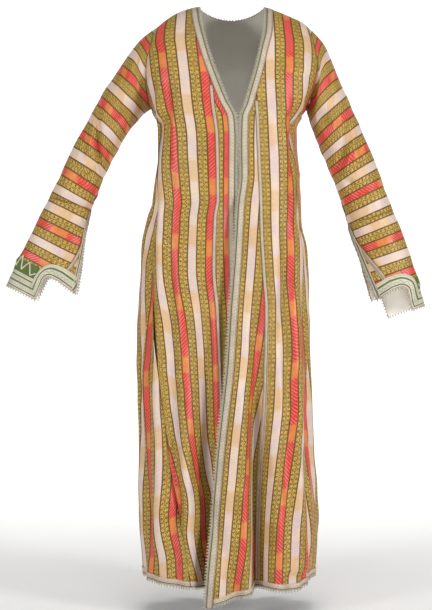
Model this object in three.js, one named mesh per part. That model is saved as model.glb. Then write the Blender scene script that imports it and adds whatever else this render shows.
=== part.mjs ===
// A qombaz: a long front-opening robe of striped silk, worn open at the neck with the wearer's left front lapped
// over the right. Each front is a straight panel with a gore on its opening side, a wedge runs down each side from
// the armpit, and the sleeves are slit below the elbow and end in a long tongue between two scooped notches.
// Millimetres, +Z up. X points to the wearer's left and the robe faces -Y. The origin is level with the neck points,
// midway between the shoulders that carry the robe.
import * as THREE from "three";

// ---- Driving sizes -------------------------------------------------------------------------------------------
const CLOTH = 1.6; // silk and its lining, sewn as one wall
const SEAM_GAP = 0.3; // between two pieces that meet at a seam
const BRAID = { lift: 0.3, thick: 1.2 }; // every braid lies this far off the cloth
const NECK_BRAID_LIFT = 0.6; // more where it is bent round the back of the neck
const CUFF_BRAID_LIFT = 0.6; // and where it turns the corners of the cuff
const EDGE_BRAID_WIDTH = 18; // round the neck and down both fronts
const SEAM_BRAID_WIDTH = 6; // over the gore seams
const HEM_BRAID_WIDTH = 14;
const CUFF_BRAID_WIDTH = 20; // round the cuff, its notches and its tongue
const SLIT_BRAID_WIDTH = 9;
const FACING_DEPTH = 40; // dark strip inside the hem of the back
const ARMHOLE_TOP = -42;
const ARMPIT = -222;
const ARMHOLE_HALF = 66; // half its depth, front to back
const SKIRT = 1034; // from the armpit to the middle of the hem
const NECK_POINT = { right: -78, left: 67 }; // x of each neck point, at z = 0
const BACK_NECK_DIP = 19; // the back neckline under the neck points
const LAP_TOP = -405; // below this the left front lies over the right
const LAP_DEPTH = 13; // how far the lapped layer is pressed in
const LAP_EASE = 60; // height over which the layers part
const CORNER_FULLNESS = 0.07; // squares the body's sections a little
const SLEEVE_JOIN = 405; // along the sleeve, where the slit lower piece is sewn on
const SLIT_OPEN = 8; // taken out of the cuff's round at the slit
const SLIT_SPREAD = 0.55; // radians by which the slit's two edges stand apart, front and back, at the cuff
const CUFF_AT = 560; // along the sleeve, the cuff beside its tongue
const TONGUE_HALF = 106;
const TONGUE_LONG = 56; // past the rest of the cuff
const NOTCH_RADIUS = 13;
const GORE_LINE_AT_CUFF = 132; // round from the tongue's middle to the sleeve gore's seam

// Horizontal sections of the body: how far the cloth reaches to each side, forward and back.
const BODY = [
  { z: 12, right: -62, left: 56, front: -10, back: 10 },
  { z: 0, right: -78, left: 67, front: -20, back: 22 },
  { z: -7, right: -109, left: 86, front: -34, back: 38 },
  { z: -21, right: -137, left: 118, front: -54, back: 60 },
  { z: -42, right: -165, left: 158, front: -70, back: 76 },
  { z: -60, right: -181, left: 171, front: -82, back: 87 },
  { z: -90, right: -194, left: 185, front: -98, back: 101 },
  { z: -130, right: -202, left: 193, front: -111, back: 112 },
  { z: -180, right: -197, left: 181, front: -120, back: 115 },
  { z: -224, right: -184, left: 158, front: -122, back: 112 },
  { z: -268, right: -163, left: 132, front: -118, back: 105 },
  { z: -301, right: -164, left: 133, front: -113, back: 99 },
  { z: -359, right: -172, left: 141, front: -106, back: 93 },
  { z: -427, right: -181, left: 145, front: -104, back: 92 },
  { z: -469, right: -191, left: 146, front: -106, back: 95 },
  { z: -524, right: -202, left: 156, front: -112, back: 101 },
  { z: -581, right: -204, left: 160, front: -118, back: 106 },
  { z: -649, right: -208, left: 163, front: -124, back: 111 },
  { z: -781, right: -213, left: 168, front: -131, back: 118 },
  { z: -957, right: -208, left: 172, front: -138, back: 126 },
  { z: -1133, right: -205, left: 183, front: -146, back: 134 },
  { z: -1210, right: -200, left: 178, front: -150, back: 138 },
  { z: -1300, right: -196, left: 174, front: -152, back: 140 },
];

// Where each front's opening edge runs, down the V of the neck and then to the hem.
const EDGE_RIGHT = [
  { z: 0, x: -78 },
  { z: -40, x: -73 },
  { z: -84, x: -63 },
  { z: -127, x: -51 },
  { z: -177, x: -33 },
  { z: -219, x: -16 },
  { z: -256, x: 2 },
  { z: -300, x: 5 },
  { z: -440, x: 4 },
  { z: -700, x: 10 },
  { z: -1300, x: 22 },
];
const EDGE_LEFT = [
  { z: 0, x: 67 },
  { z: -59, x: 64 },
  { z: -110, x: 53 },
  { z: -157, x: 42 },
  { z: -194, x: 31 },
  { z: -227, x: 22 },
  { z: -256, x: 11 },
  { z: -300, x: 10 },
  { z: -380, x: 11 },
  { z: -440, x: 4 },
  { z: -550, x: -3 },
  { z: -640, x: -10 },
  { z: -790, x: -20 },
  { z: -960, x: -38 },
  { z: -1130, x: -52 },
  { z: -1300, x: -64 },
];

// Where the panels' other seams run. A gore seam starts on the neck edge, and a wedge seam at the armpit, where the
// armhole ends. The back's two wedge seams lie on the hidden side.
const GORE_RIGHT = [
  { z: -92, x: -61 },
  { z: -165, x: -53 },
  { z: -227, x: -47 },
  { z: -297, x: -38 },
  { z: -427, x: -36 },
  { z: -469, x: -42 },
  { z: -581, x: -45 },
  { z: -664, x: -38 },
  { z: -800, x: -32 },
  { z: -1000, x: -26 },
  { z: -1300, x: -18 },
];
const GORE_LEFT = [
  { z: -155, x: 42.5 },
  { z: -210, x: 45 },
  { z: -257, x: 48 },
  { z: -340, x: 52 },
  { z: -427, x: 56 },
  { z: -497, x: 57 },
  { z: -581, x: 61 },
  { z: -664, x: 67 },
  { z: -800, x: 68 },
  { z: -1000, x: 62 },
  { z: -1160, x: 59 },
  { z: -1300, x: 62 },
];
const OUTER_RIGHT = [
  { z: -222, x: -184.2 },
  { z: -268, x: -158 },
  { z: -334, x: -162 },
  { z: -385, x: -167 },
  { z: -429, x: -163 },
  { z: -506, x: -168 },
  { z: -570, x: -181 },
  { z: -664, x: -174 },
  { z: -726, x: -167 },
  { z: -887, x: -150 },
  { z: -1027, x: -134 },
  { z: -1159, x: -106 },
  { z: -1300, x: -86 },
];
const OUTER_LEFT = [
  { z: -222, x: 158.4 },
  { z: -268, x: 127 },
  { z: -359, x: 134 },
  { z: -427, x: 138 },
  { z: -560, x: 150 },
  { z: -670, x: 146 },
  { z: -781, x: 143 },
  { z: -957, x: 147 },
  { z: -1133, x: 156 },
  { z: -1300, x: 148 },
];
const BACK_RIGHT = [
  { z: -222, x: -184.2 },
  { z: -268, x: -156 },
  { z: -427, x: -166 },
  { z: -649, x: -168 },
  { z: -957, x: -142 },
  { z: -1300, x: -108 },
];
const BACK_LEFT = [
  { z: -222, x: 158.4 },
  { z: -268, x: 125 },
  { z: -427, x: 132 },
  { z: -649, x: 128 },
  { z: -957, x: 112 },
  { z: -1300, x: 92 },
];

// The hem's height, by the way round the robe: from 0 at the right front's edge, round the wearer's right side and
// the back, to 1 at the left front's edge.
const HEM = [
  { way: 0, z: -1254 },
  { way: 0.1, z: -1256 },
  { way: 0.2, z: -1248 },
  { way: 0.3, z: -1226 },
  { way: 0.42, z: -1244 },
  { way: 0.55, z: -1262 },
  { way: 0.7, z: -1252 },
  { way: 0.78, z: -1240 },
  { way: 0.86, z: -1256 },
  { way: 0.92, z: -1252 },
  { way: 0.955, z: -1266 },
  { way: 1, z: -1288 },
];

// The largest folds. A fold starts at top, at topX on the front or the back, is fullest from full down, runs to
// footX at the hem, and has faded out at foot. Its depth is out (+) or in (-), and half is its half width. The
// cloth says which layer of the lap it is in: the under one (right front), the over one (left front) or both.
const FOLDS = [
  { face: "front", cloth: "both", topX: -178, footX: -190, top: -330, full: -640, foot: -1500, half: 13, depth: -7 },
  { face: "front", cloth: "both", topX: -160, footX: -166, top: -380, full: -700, foot: -1500, half: 16, depth: 8 },
  { face: "front", cloth: "both", topX: -146, footX: -128, top: -150, full: -260, foot: -430, half: 12, depth: -10 },
  { face: "front", cloth: "both", topX: -163, footX: -150, top: -130, full: -240, foot: -400, half: 11, depth: 7 },
  { face: "front", cloth: "both", topX: -146, footX: -118, top: -420, full: -800, foot: -1500, half: 15, depth: -10 },
  { face: "front", cloth: "both", topX: -118, footX: -92, top: -430, full: -900, foot: -1500, half: 17, depth: 11 },
  { face: "front", cloth: "both", topX: -104, footX: -92, top: -240, full: -400, foot: -760, half: 16, depth: -5 },
  { face: "front", cloth: "under", topX: -62, footX: -64, top: -430, full: -1000, foot: -1500, half: 18, depth: -32 },
  { face: "front", cloth: "under", topX: -44, footX: -38, top: -380, full: -640, foot: -1000, half: 11, depth: 8 },
  { face: "front", cloth: "under", topX: -20, footX: -28, top: -500, full: -800, foot: -1500, half: 14, depth: -8 },
  { face: "front", cloth: "over", topX: 24, footX: -30, top: -470, full: -900, foot: -1500, half: 20, depth: 7 },
  { face: "front", cloth: "over", topX: 24, footX: 6, top: -300, full: -560, foot: -900, half: 9, depth: -5 },
  { face: "front", cloth: "over", topX: 30, footX: 32, top: -600, full: -1180, foot: -1600, half: 17, depth: 13 },
  { face: "front", cloth: "over", topX: 42, footX: 56, top: -520, full: -1180, foot: -1600, half: 16, depth: -58 },
  { face: "front", cloth: "both", topX: 84, footX: 92, top: -420, full: -1000, foot: -1500, half: 20, depth: 11 },
  { face: "front", cloth: "both", topX: 108, footX: 112, top: -380, full: -620, foot: -1100, half: 12, depth: -7 },
  { face: "front", cloth: "both", topX: 128, footX: 106, top: -140, full: -300, foot: -470, half: 12, depth: -10 },
  { face: "front", cloth: "both", topX: 146, footX: 122, top: -130, full: -260, foot: -430, half: 10, depth: 6 },
  { face: "front", cloth: "both", topX: 132, footX: 134, top: -480, full: -900, foot: -1500, half: 13, depth: 7 },
  { face: "front", cloth: "both", topX: 146, footX: 164, top: -500, full: -900, foot: -1500, half: 12, depth: -8 },
  { face: "back", cloth: "both", topX: -128, footX: -150, top: -380, full: -900, foot: -1500, half: 20, depth: -18 },
  { face: "back", cloth: "both", topX: -94, footX: -112, top: -400, full: -900, foot: -1500, half: 22, depth: 14 },
  { face: "back", cloth: "both", topX: -52, footX: -66, top: -360, full: -1000, foot: -1500, half: 22, depth: -26 },
  { face: "back", cloth: "both", topX: -12, footX: -16, top: -420, full: -1000, foot: -1500, half: 24, depth: 13 },
  { face: "back", cloth: "both", topX: 34, footX: 40, top: -380, full: -1000, foot: -1500, half: 22, depth: -27 },
  { face: "back", cloth: "both", topX: 76, footX: 88, top: -400, full: -900, foot: -1500, half: 22, depth: 13 },
  { face: "back", cloth: "both", topX: 112, footX: 132, top: -380, full: -900, foot: -1500, half: 18, depth: -15 },
  { face: "back", cloth: "both", topX: -150, footX: -118, top: -140, full: -250, foot: -420, half: 15, depth: -8 },
  { face: "back", cloth: "both", topX: 132, footX: 98, top: -140, full: -250, foot: -420, half: 15, depth: -8 },
];

// Sections of each sleeve from the armhole to the tongue's end: how far along it lies, its outer and inner outline
// seen from the front, and how far forward and back of those it reaches.
const SLEEVE_RIGHT = [
  { along: 0, outerX: -165, outerZ: -42, innerX: -184.2, innerZ: -222, front: 66, back: 66 },
  { along: 34, outerX: -194, outerZ: -62, innerX: -199, innerZ: -233, front: 66, back: 66 },
  { along: 66, outerX: -218, outerZ: -87, innerX: -211, innerZ: -246, front: 65, back: 65 },
  { along: 122, outerX: -255, outerZ: -137, innerX: -233, innerZ: -274, front: 60, back: 60 },
  { along: 178, outerX: -288, outerZ: -189, innerX: -255, innerZ: -312, front: 56, back: 56 },
  { along: 232, outerX: -318, outerZ: -241, innerX: -275, innerZ: -350, front: 52, back: 52 },
  { along: 290, outerX: -349, outerZ: -298, innerX: -289, innerZ: -380, front: 48, back: 48 },
  { along: 348, outerX: -379, outerZ: -361, innerX: -301, innerZ: -411, front: 45, back: 45 },
  { along: 402, outerX: -405, outerZ: -415, innerX: -314, innerZ: -442, front: 43, back: 43 },
  { along: 448, outerX: -428, outerZ: -459, innerX: -325, innerZ: -486, front: 38, back: 38 },
  { along: 496, outerX: -450, outerZ: -504, innerX: -332, innerZ: -541, front: 33, back: 33 },
  { along: 560, outerX: -477, outerZ: -559, innerX: -344, innerZ: -626, front: 27, back: 27 },
  { along: 628, outerX: -505, outerZ: -620, innerX: -366, innerZ: -692, front: 24, back: 24 },
];
const SLEEVE_LEFT = [
  { along: 0, outerX: 158, outerZ: -42, innerX: 158.8, innerZ: -222, front: 66, back: 66 },
  { along: 34, outerX: 182, outerZ: -64, innerX: 163, innerZ: -238, front: 66, back: 66 },
  { along: 66, outerX: 201, outerZ: -90, innerX: 168, innerZ: -255, front: 65, back: 65 },
  { along: 122, outerX: 227, outerZ: -148, innerX: 178, innerZ: -284, front: 60, back: 60 },
  { along: 178, outerX: 252, outerZ: -209, innerX: 190, innerZ: -314, front: 57, back: 57 },
  { along: 232, outerX: 279, outerZ: -266, innerX: 206, innerZ: -351, front: 54, back: 54 },
  { along: 290, outerX: 304, outerZ: -327, innerX: 222, innerZ: -390, front: 52, back: 52 },
  { along: 348, outerX: 327, outerZ: -387, innerX: 238, innerZ: -434, front: 50, back: 50 },
  { along: 402, outerX: 348, outerZ: -444, innerX: 250, innerZ: -476, front: 45, back: 52 },
  { along: 448, outerX: 367, outerZ: -488, innerX: 263, innerZ: -516, front: 42, back: 57 },
  { along: 496, outerX: 385, outerZ: -537, innerX: 281, innerZ: -566, front: 38, back: 63 },
  { along: 560, outerX: 404, outerZ: -602, innerX: 305, innerZ: -640, front: 33, back: 70 },
  { along: 628, outerX: 421, outerZ: -664, innerX: 331, innerZ: -700, front: 31, back: 73 },
];
// How far round from the tongue's middle the sleeve's outer line lies: the left cuff is turned back on the arm.
const OUTER_LINE = { right: 0, left: 62 };
// Creases of the sleeves: from and to along the sleeve, and round it in radians from the outer line to the front.
const CREASES = [
  { from: 190, to: 330, roundFrom: 0.5, roundTo: 1.5, half: 0.2, depth: -5 },
  { from: 250, to: 380, roundFrom: 2.6, roundTo: 1.4, half: 0.2, depth: -5 },
  { from: 60, to: 210, roundFrom: 2.5, roundTo: 1.7, half: 0.25, depth: -6 },
  { from: 120, to: 340, roundFrom: 4.4, roundTo: 3.8, half: 0.25, depth: -5 },
];

// The cuff's cut edge from the tongue's middle to the slit: how far round from the tongue's middle, how far past
// CUFF_AT, and the way into the cloth from there, in widths of the cuff braid.
const notchArc = [0, 30, 60, 90].map((degrees) => {
  const [c, s] = [Math.cos((degrees * Math.PI) / 180), Math.sin((degrees * Math.PI) / 180)];
  const centre = { round: TONGUE_HALF + NOTCH_RADIUS, past: 10 };
  return { round: centre.round - NOTCH_RADIUS * c, past: centre.past - NOTCH_RADIUS * s, inRound: -c, inPast: -s };
});
const CUFF_EDGE = [
  ...[0, 8, 18, 32, 50, 68, 84].map((round) => ({ round, past: TONGUE_LONG, inRound: 0, inPast: -1 })),
  { round: TONGUE_HALF, past: TONGUE_LONG, inRound: -1, inPast: -1 },
  { round: TONGUE_HALF, past: 34, inRound: -1, inPast: 0 },
  ...notchArc,
  { round: GORE_LINE_AT_CUFF, past: -3, inRound: 0, inPast: -1 },
];
const SLIT_CORNER_PAST = 5;
const EDGE_ON = 0.001; // a stop on the slit's edge itself, before it or behind it

// ---- Curves through tables -----------------------------------------------------------------------------------
const clamp = (v, lo, hi) => Math.min(hi, Math.max(lo, v));
const mix = (a, b, t) => a + (b - a) * t;
const spread = (from, to, count) => Array.from({ length: count + 1 }, (_, i) => mix(from, to, i / count));
const smooth = (t) => {
  const s = clamp(t, 0, 1);
  return s * s * (3 - 2 * s);
};

// A smooth value of one column of a table, by another column that only rises or only falls.
function read(table, by, column, at) {
  const sign = table[table.length - 1][by] < table[0][by] ? -1 : 1;
  let i = 0;
  while (i < table.length - 2 && sign * at > sign * table[i + 1][by]) i++;
  const [a, b] = [table[i], table[i + 1]];
  const slopeOf = (p, q) => (q[column] - p[column]) / (q[by] - p[by]);
  const own = slopeOf(a, b);
  const blend = (other) => (own * other <= 0 ? 0 : (2 * own * other) / (own + other));
  const span = b[by] - a[by];
  const start = span * (i === 0 ? own : blend(slopeOf(table[i - 1], a)));
  const end = span * (i === table.length - 2 ? own : blend(slopeOf(b, table[i + 2])));
  const t = clamp((at - a[by]) / span, 0, 1);
  const rise = t * t * (3 - 2 * t);
  return mix(a[column], b[column], rise) + t * (1 - t) * (start * (1 - t) - end * t);
}

// ---- The body's surface --------------------------------------------------------------------------------------
// A section is an ellipse with full corners. Its angle falls from 0 at the wearer's left side, through -PI/2 at the
// front and -PI at the wearer's right side, to -3 PI/2 at the back.
function section(z) {
  const right = read(BODY, "z", "right", z);
  const left = read(BODY, "z", "left", z);
  const depths = { front: -read(BODY, "z", "front", z), back: read(BODY, "z", "back", z) };
  return { centre: (left + right) / 2, halfWidth: (left - right) / 2, ...depths };
}
const reach = (angle) => Math.cos(angle) * (1 + CORNER_FULLNESS) - Math.cos(3 * angle) * CORNER_FULLNESS;
const stand = (angle) => Math.sin(angle) * (1 + CORNER_FULLNESS) + Math.sin(3 * angle) * CORNER_FULLNESS;

// The angle at which the section at that height has that x, on the front or the back.
function angleAt(face, x, z) {
  const s = section(z);
  const share = clamp((x - s.centre) / s.halfWidth, -1, 1);
  let lo = 0;
  let hi = Math.PI;
  for (let i = 0; i < 30; i++) {
    const mid = (lo + hi) / 2;
    if (reach(mid) > share) lo = mid;
    else hi = mid;
  }
  return face === "front" ? -lo : lo;
}

// The armhole is an oval seen from the side. Its x at a height is where the body is that deep.
function armholeDepth(z) {
  const swing = clamp((2 * z - ARMHOLE_TOP - ARMPIT) / (ARMHOLE_TOP - ARMPIT), -1, 1);
  return ARMHOLE_HALF * Math.sqrt(1 - swing * swing);
}
function armholeX(side, face, z) {
  const s = section(z);
  const share = armholeDepth(z) / Math.abs(s[face]);
  let lo = 0;
  let hi = Math.PI / 2;
  for (let i = 0; i < 30; i++) {
    const mid = (lo + hi) / 2;
    if (stand(mid) > share) hi = mid;
    else lo = mid;
  }
  return s.centre + (side === "right" ? -1 : 1) * s.halfWidth * reach(lo);
}

const turnBetween = (a, b) => ((((a - b + Math.PI) % (2 * Math.PI)) + 2 * Math.PI) % (2 * Math.PI)) - Math.PI;

function foldsAt(angle, z, s, cloth) {
  let out = 0;
  for (const fold of FOLDS) {
    const inCloth = fold.cloth === "both" || fold.cloth === cloth;
    if (!inCloth || z > fold.top || z < fold.foot) continue;
    const down = clamp((z - fold.top) / (-1280 - fold.top), 0, 1);
    const middle = angleAt(fold.face, mix(fold.topX, fold.footX, down), z);
    const radius = Math.hypot(s.halfWidth * Math.sin(middle), s.front * Math.cos(middle));
    const away = (turnBetween(angle, middle) * radius) / fold.half;
    if (Math.abs(away) > 3) continue;
    const grown = smooth((fold.top - z) / (fold.top - fold.full));
    const kept = smooth((z - fold.foot) / Math.min(200, fold.full - fold.foot));
    out += fold.depth * grown * kept * Math.exp(-away * away);
  }
  return out;
}

// The right front sinks in where the left one laps over it, and the left one stands out a little at its edge.
function lapAt(angle, z, cloth) {
  if (cloth === "both" || z > LAP_TOP) return 0;
  const parted = smooth((LAP_TOP - z) / LAP_EASE);
  const pastEdge = turnBetween(angle, angleAt("front", read(EDGE_LEFT, "z", "x", z), z));
  if (cloth === "over") return 2 * parted * smooth(1 - pastEdge / 0.6);
  return -LAP_DEPTH * parted * smooth(1 + pastEdge / 0.3);
}

function bodyPoint(angle, z, cloth) {
  const s = section(z);
  const depth = Math.sin(angle) < 0 ? s.front : s.back;
  const normal = new THREE.Vector3(depth * Math.cos(angle), s.halfWidth * Math.sin(angle), 0).normalize();
  const base = new THREE.Vector3(s.centre + s.halfWidth * reach(angle), depth * stand(angle), z);
  return base.addScaledVector(normal, foldsAt(angle, z, s, cloth) + lapAt(angle, z, cloth));
}

// A point of a surface and the way it faces, from the surface's points on each side of it.
function facing(surface, a, b, stepA, stepB) {
  const across = surface(a + stepA, b).sub(surface(a - stepA, b));
  const up = surface(a, b + stepB).sub(surface(a, b - stepB));
  return { point: surface(a, b), normal: across.cross(up).normalize() };
}
const onBody = (angle, z, cloth) => facing((a, b) => bodyPoint(a, b, cloth), angle, z, 0.01, 1.5);

// ---- Closed walls --------------------------------------------------------------------------------------------
const finish = {
  silk: new THREE.MeshStandardMaterial({ name: "silk", color: 0x9a8440, roughness: 0.5, metalness: 0 }),
  braid: new THREE.MeshStandardMaterial({ name: "braid", color: 0xb9b29a, roughness: 0.6, metalness: 0.1 }),
  facing: new THREE.MeshStandardMaterial({ name: "facing", color: 0x14161f, roughness: 0.8, metalness: 0 }),
};

// A grid of places, each moved along its normal to low and to high, with its edges closed. In a tube the last
// column is followed by the first.
function wall(name, finishName, columns, rows, place, low, high, tube = false) {
  const points = [];
  for (const row of rows) {
    for (const column of columns) {
      const { point, normal } = place(column, row);
      for (const lift of [low, high]) points.push(...point.clone().addScaledVector(normal, lift).toArray());
    }
  }
  const at = (c, r, side) => (r * columns.length + (c % columns.length)) * 2 + side;
  const corner = (i) => new THREE.Vector3().fromArray(points, i * 3);
  const faces = [];
  const quad = (a, b, c, d) => faces.push(a, b, c, a, c, d);
  // A twisted square of cloth is split on its shorter diagonal, so that what lies on it is split the same way.
  const patch = (a, b, c, d) => {
    const shorter = corner(a).distanceTo(corner(c)) <= corner(b).distanceTo(corner(d));
    if (shorter) quad(a, b, c, d);
    else quad(b, c, d, a);
  };
  const spans = tube ? columns.length : columns.length - 1;
  const lastRow = rows.length - 1;
  for (let r = 0; r < lastRow; r++) {
    for (let c = 0; c < spans; c++) {
      patch(at(c, r, 1), at(c, r + 1, 1), at(c + 1, r + 1, 1), at(c + 1, r, 1));
      patch(at(c, r, 0), at(c + 1, r, 0), at(c + 1, r + 1, 0), at(c, r + 1, 0));
    }
    if (!tube) {
      quad(at(0, r, 0), at(0, r + 1, 0), at(0, r + 1, 1), at(0, r, 1));
      quad(at(spans, r + 1, 1), at(spans, r + 1, 0), at(spans, r, 0), at(spans, r, 1));
    }
  }
  for (let c = 0; c < spans; c++) {
    quad(at(c, 0, 0), at(c, 0, 1), at(c + 1, 0, 1), at(c + 1, 0, 0));
    quad(at(c, lastRow, 0), at(c + 1, lastRow, 0), at(c + 1, lastRow, 1), at(c, lastRow, 1));
  }
  if (volumeOf(points, faces) < 0) faces.reverse();
  const geometry = new THREE.BufferGeometry();
  geometry.setAttribute("position", new THREE.Float32BufferAttribute(points, 3));
  geometry.setIndex(faces);
  geometry.computeVertexNormals();
  const mesh = new THREE.Mesh(geometry, finish[finishName]);
  mesh.name = name;
  return mesh;
}

function volumeOf(points, faces) {
  const corner = (i) => new THREE.Vector3().fromArray(points, faces[i] * 3);
  let sum = 0;
  for (let i = 0; i < faces.length; i += 3) sum += corner(i).dot(corner(i + 1).cross(corner(i + 2)));
  return sum;
}

const cloth = (name, columns, rows, place) => wall(name, "silk", columns, rows, place, -CLOTH, 0);
const braid = (name, columns, rows, place, lift = BRAID.lift) =>
  wall(name, "braid", columns, rows, place, lift, lift + BRAID.thick);

// ---- Panels of the body --------------------------------------------------------------------------------------
// A panel lies between two lines. Its columns are stops: so many millimetres in from the first line, or from the
// last, or a share of what is left between them.
const fromFirst = (...list) => list.map((mm) => ({ first: mm }));
const fromLast = (...list) => list.map((mm) => ({ last: mm }));
const shares = (count) => spread(0, 1, count + 1).slice(1, -1).map((share) => ({ share }));
function shareOf(stop, width, hold) {
  const fit = Math.min(1, width / (hold.first + hold.last + 2));
  if (stop.first !== undefined) return (stop.first * fit) / width;
  if (stop.last !== undefined) return 1 - (stop.last * fit) / width;
  return mix((hold.first * fit) / width, 1 - (hold.last * fit) / width, stop.share);
}
const HALF_GAP = SEAM_GAP / 2 + 0.03;
// The turn from an angle towards another that leaves half a seam's gap on the cloth.
function gapTurn(from, to, z) {
  const s = section(z);
  const radius = Math.hypot(s.halfWidth * Math.sin(from), s.front * Math.cos(from));
  return (Math.sign(to - from) * HALF_GAP) / radius;
}

// Below the armpit every panel has the same rows, as shares of the way to the hem. Above it a panel hangs from its
// own top line, with rows that crowd where the cloth turns over the shoulder and under the arm.
const BRAID_ROW = 1 - HEM_BRAID_WIDTH / SKIRT;
const FACING_ROW = 1 - FACING_DEPTH / SKIRT;
const SKIRT_ROWS = [0, 0.02, 0.044, 0.08, 0.125, ...spread(0.18, FACING_ROW, 11), BRAID_ROW, 1];
const YOKE_STEPS = 10;
const YOKE_ROWS = spread(0, 1, YOKE_STEPS).map((t) => (1 - Math.cos(Math.PI * t)) / 2);

// A row is a place above the armpit, as a share of the way down to it, or below it, as a share of the way to the hem.
const yoke = (list) => list.map((share) => ({ above: share }));
const skirt = (list) => list.map((share) => ({ below: share }));
const heightOf = (row, top, hem) => (row.above === undefined ? mix(ARMPIT, hem, row.below) : mix(top, ARMPIT, row.above));
const LONG_ROWS = [...yoke(YOKE_ROWS.slice(0, -1)), ...skirt(SKIRT_ROWS)];
// The same rows, without those above a height.
const rowsUnder = (top) => LONG_ROWS.filter((row) => row.above === undefined || row.above * ARMPIT < top);

// The shoulder line's height at an x: the section's own side reaches it there.
function shoulderZ(x) {
  let lo = ARMHOLE_TOP;
  let hi = 0;
  for (let i = 0; i < 30; i++) {
    const mid = (lo + hi) / 2;
    const s = section(mid);
    if (Math.abs(x - s.centre) > s.halfWidth) hi = mid;
    else lo = mid;
  }
  return lo;
}

// The angle at the shoulder line, a little to the front or the back of it, so that the two panels stay apart.
const SHOULDER_STEP = 0.006;
function angleOnFace(face, x, z) {
  const found = angleAt(face, x, z);
  const side = x < section(z).centre ? Math.PI - SHOULDER_STEP : SHOULDER_STEP;
  const limit = face === "front" ? -side : side;
  const beyond = Math.abs(side) > 1 ? Math.abs(found) > Math.abs(limit) : Math.abs(found) < Math.abs(limit);
  return beyond ? limit : found;
}

// A panel cut to hang between two lines of one face, from the shoulder line or its own top.
function panelPlace({ face, lines, ways, hold, layer, topOf }) {
  return (stop, row) => {
    const xAt = (z) => {
      const [first, last] = lines.map((line) => line(z));
      return mix(first, last, shareOf(stop, Math.abs(last - first), hold));
    };
    const width = Math.abs(lines[1](-600) - lines[0](-600));
    const hem = read(HEM, "way", "z", mix(ways[0], ways[1], shareOf(stop, width, hold)));
    const z = heightOf(row, topOf(xAt), hem);
    const angle = angleOnFace(face, xAt(z), z);
    const onLine = stop.first === 0 || stop.last === 0;
    const other = angleOnFace(face, lines[stop.first === 0 ? 1 : 0](z), z);
    return onBody(onLine ? angle + gapTurn(angle, other, z) : angle, z, layer);
  };
}
const lineOf = (table) => (z) => read(table, "z", "x", z);
// A front's or the back's outer line: straight up over the shoulder's tip, round the armhole, then down a seam.
const outerLine = (side, face, table) => (z) =>
  z > ARMPIT ? armholeX(side, face, Math.min(z, ARMHOLE_TOP)) : read(table, "z", "x", z);

const SIDES = {
  right: { edge: EDGE_RIGHT, gore: GORE_RIGHT, outer: OUTER_RIGHT, back: BACK_RIGHT, layer: "under" },
  left: { edge: EDGE_LEFT, gore: GORE_LEFT, outer: OUTER_LEFT, back: BACK_LEFT, layer: "over" },
};
const WAYS = {
  right: { edge: 0, gore: 0.05, outer: 0.2, back: 0.36 },
  left: { edge: 1, gore: 0.93, outer: 0.82, back: 0.66 },
};
// The shoulder line is met by the column's own x at the top; two rounds settle it.
const fromShoulder = (xAt) => shoulderZ(xAt(shoulderZ(xAt(0))));

const EDGE_STOPS = [0, SEAM_BRAID_WIDTH / 2, 9, EDGE_BRAID_WIDTH];
const SEAM_STOPS = [0, SEAM_BRAID_WIDTH / 2];

function frontPanel(side) {
  const { edge, gore, outer, layer } = SIDES[side];
  const inner = (z) => read(z > gore[0].z ? edge : gore, "z", "x", z);
  const lines = [inner, outerLine(side, "front", outer)];
  const hold = { first: EDGE_BRAID_WIDTH, last: 0 };
  const ways = [WAYS[side].gore, WAYS[side].outer];
  const place = panelPlace({ face: "front", lines, ways, hold, layer, topOf: fromShoulder });
  return { place, stops: [...fromFirst(...EDGE_STOPS), ...shares(9), ...fromLast(0)] };
}

function gorePanel(side) {
  const { edge, gore, layer } = SIDES[side];
  const seamStops = side === "left" ? [...SEAM_STOPS, 8, 14, 22] : SEAM_STOPS;
  const hold = { first: seamStops.at(-1), last: EDGE_BRAID_WIDTH };
  const ways = [WAYS[side].gore, WAYS[side].edge];
  const topOf = () => 0;
  const place = panelPlace({ face: "front", lines: [lineOf(gore), lineOf(edge)], ways, hold, layer, topOf });
  const middle = shares(side === "left" ? 4 : 3);
  return { place, stops: [...fromFirst(...seamStops), ...middle, ...fromLast(...EDGE_STOPS.toReversed())] };
}

// The wedge under the arm wraps the side, from the front panel's seam to the back's.
function wedgePanel(side) {
  const { outer, back, layer } = SIDES[side];
  const ways = WAYS[side];
  const round = (angle) => (side === "right" && angle < 0 ? angle + 2 * Math.PI : angle);
  const place = (share, row) => {
    const z = heightOf(row, ARMPIT, read(HEM, "way", "z", mix(ways.outer, ways.back, share)));
    const from = round(angleAt("front", read(outer, "z", "x", z), z));
    const to = round(angleAt("back", read(back, "z", "x", z), z));
    const found = onBody(mix(from + gapTurn(from, to, z), to + gapTurn(to, from, z), share), z, layer);
    if (row.below > 0) return found;
    const next = place(share, { below: SKIRT_ROWS[1] }).point;
    const down = next.sub(found.point).setLength(SEAM_GAP);
    return { point: found.point.add(down), normal: found.normal };
  };
  return { place, stops: spread(0, 1, 7) };
}

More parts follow.
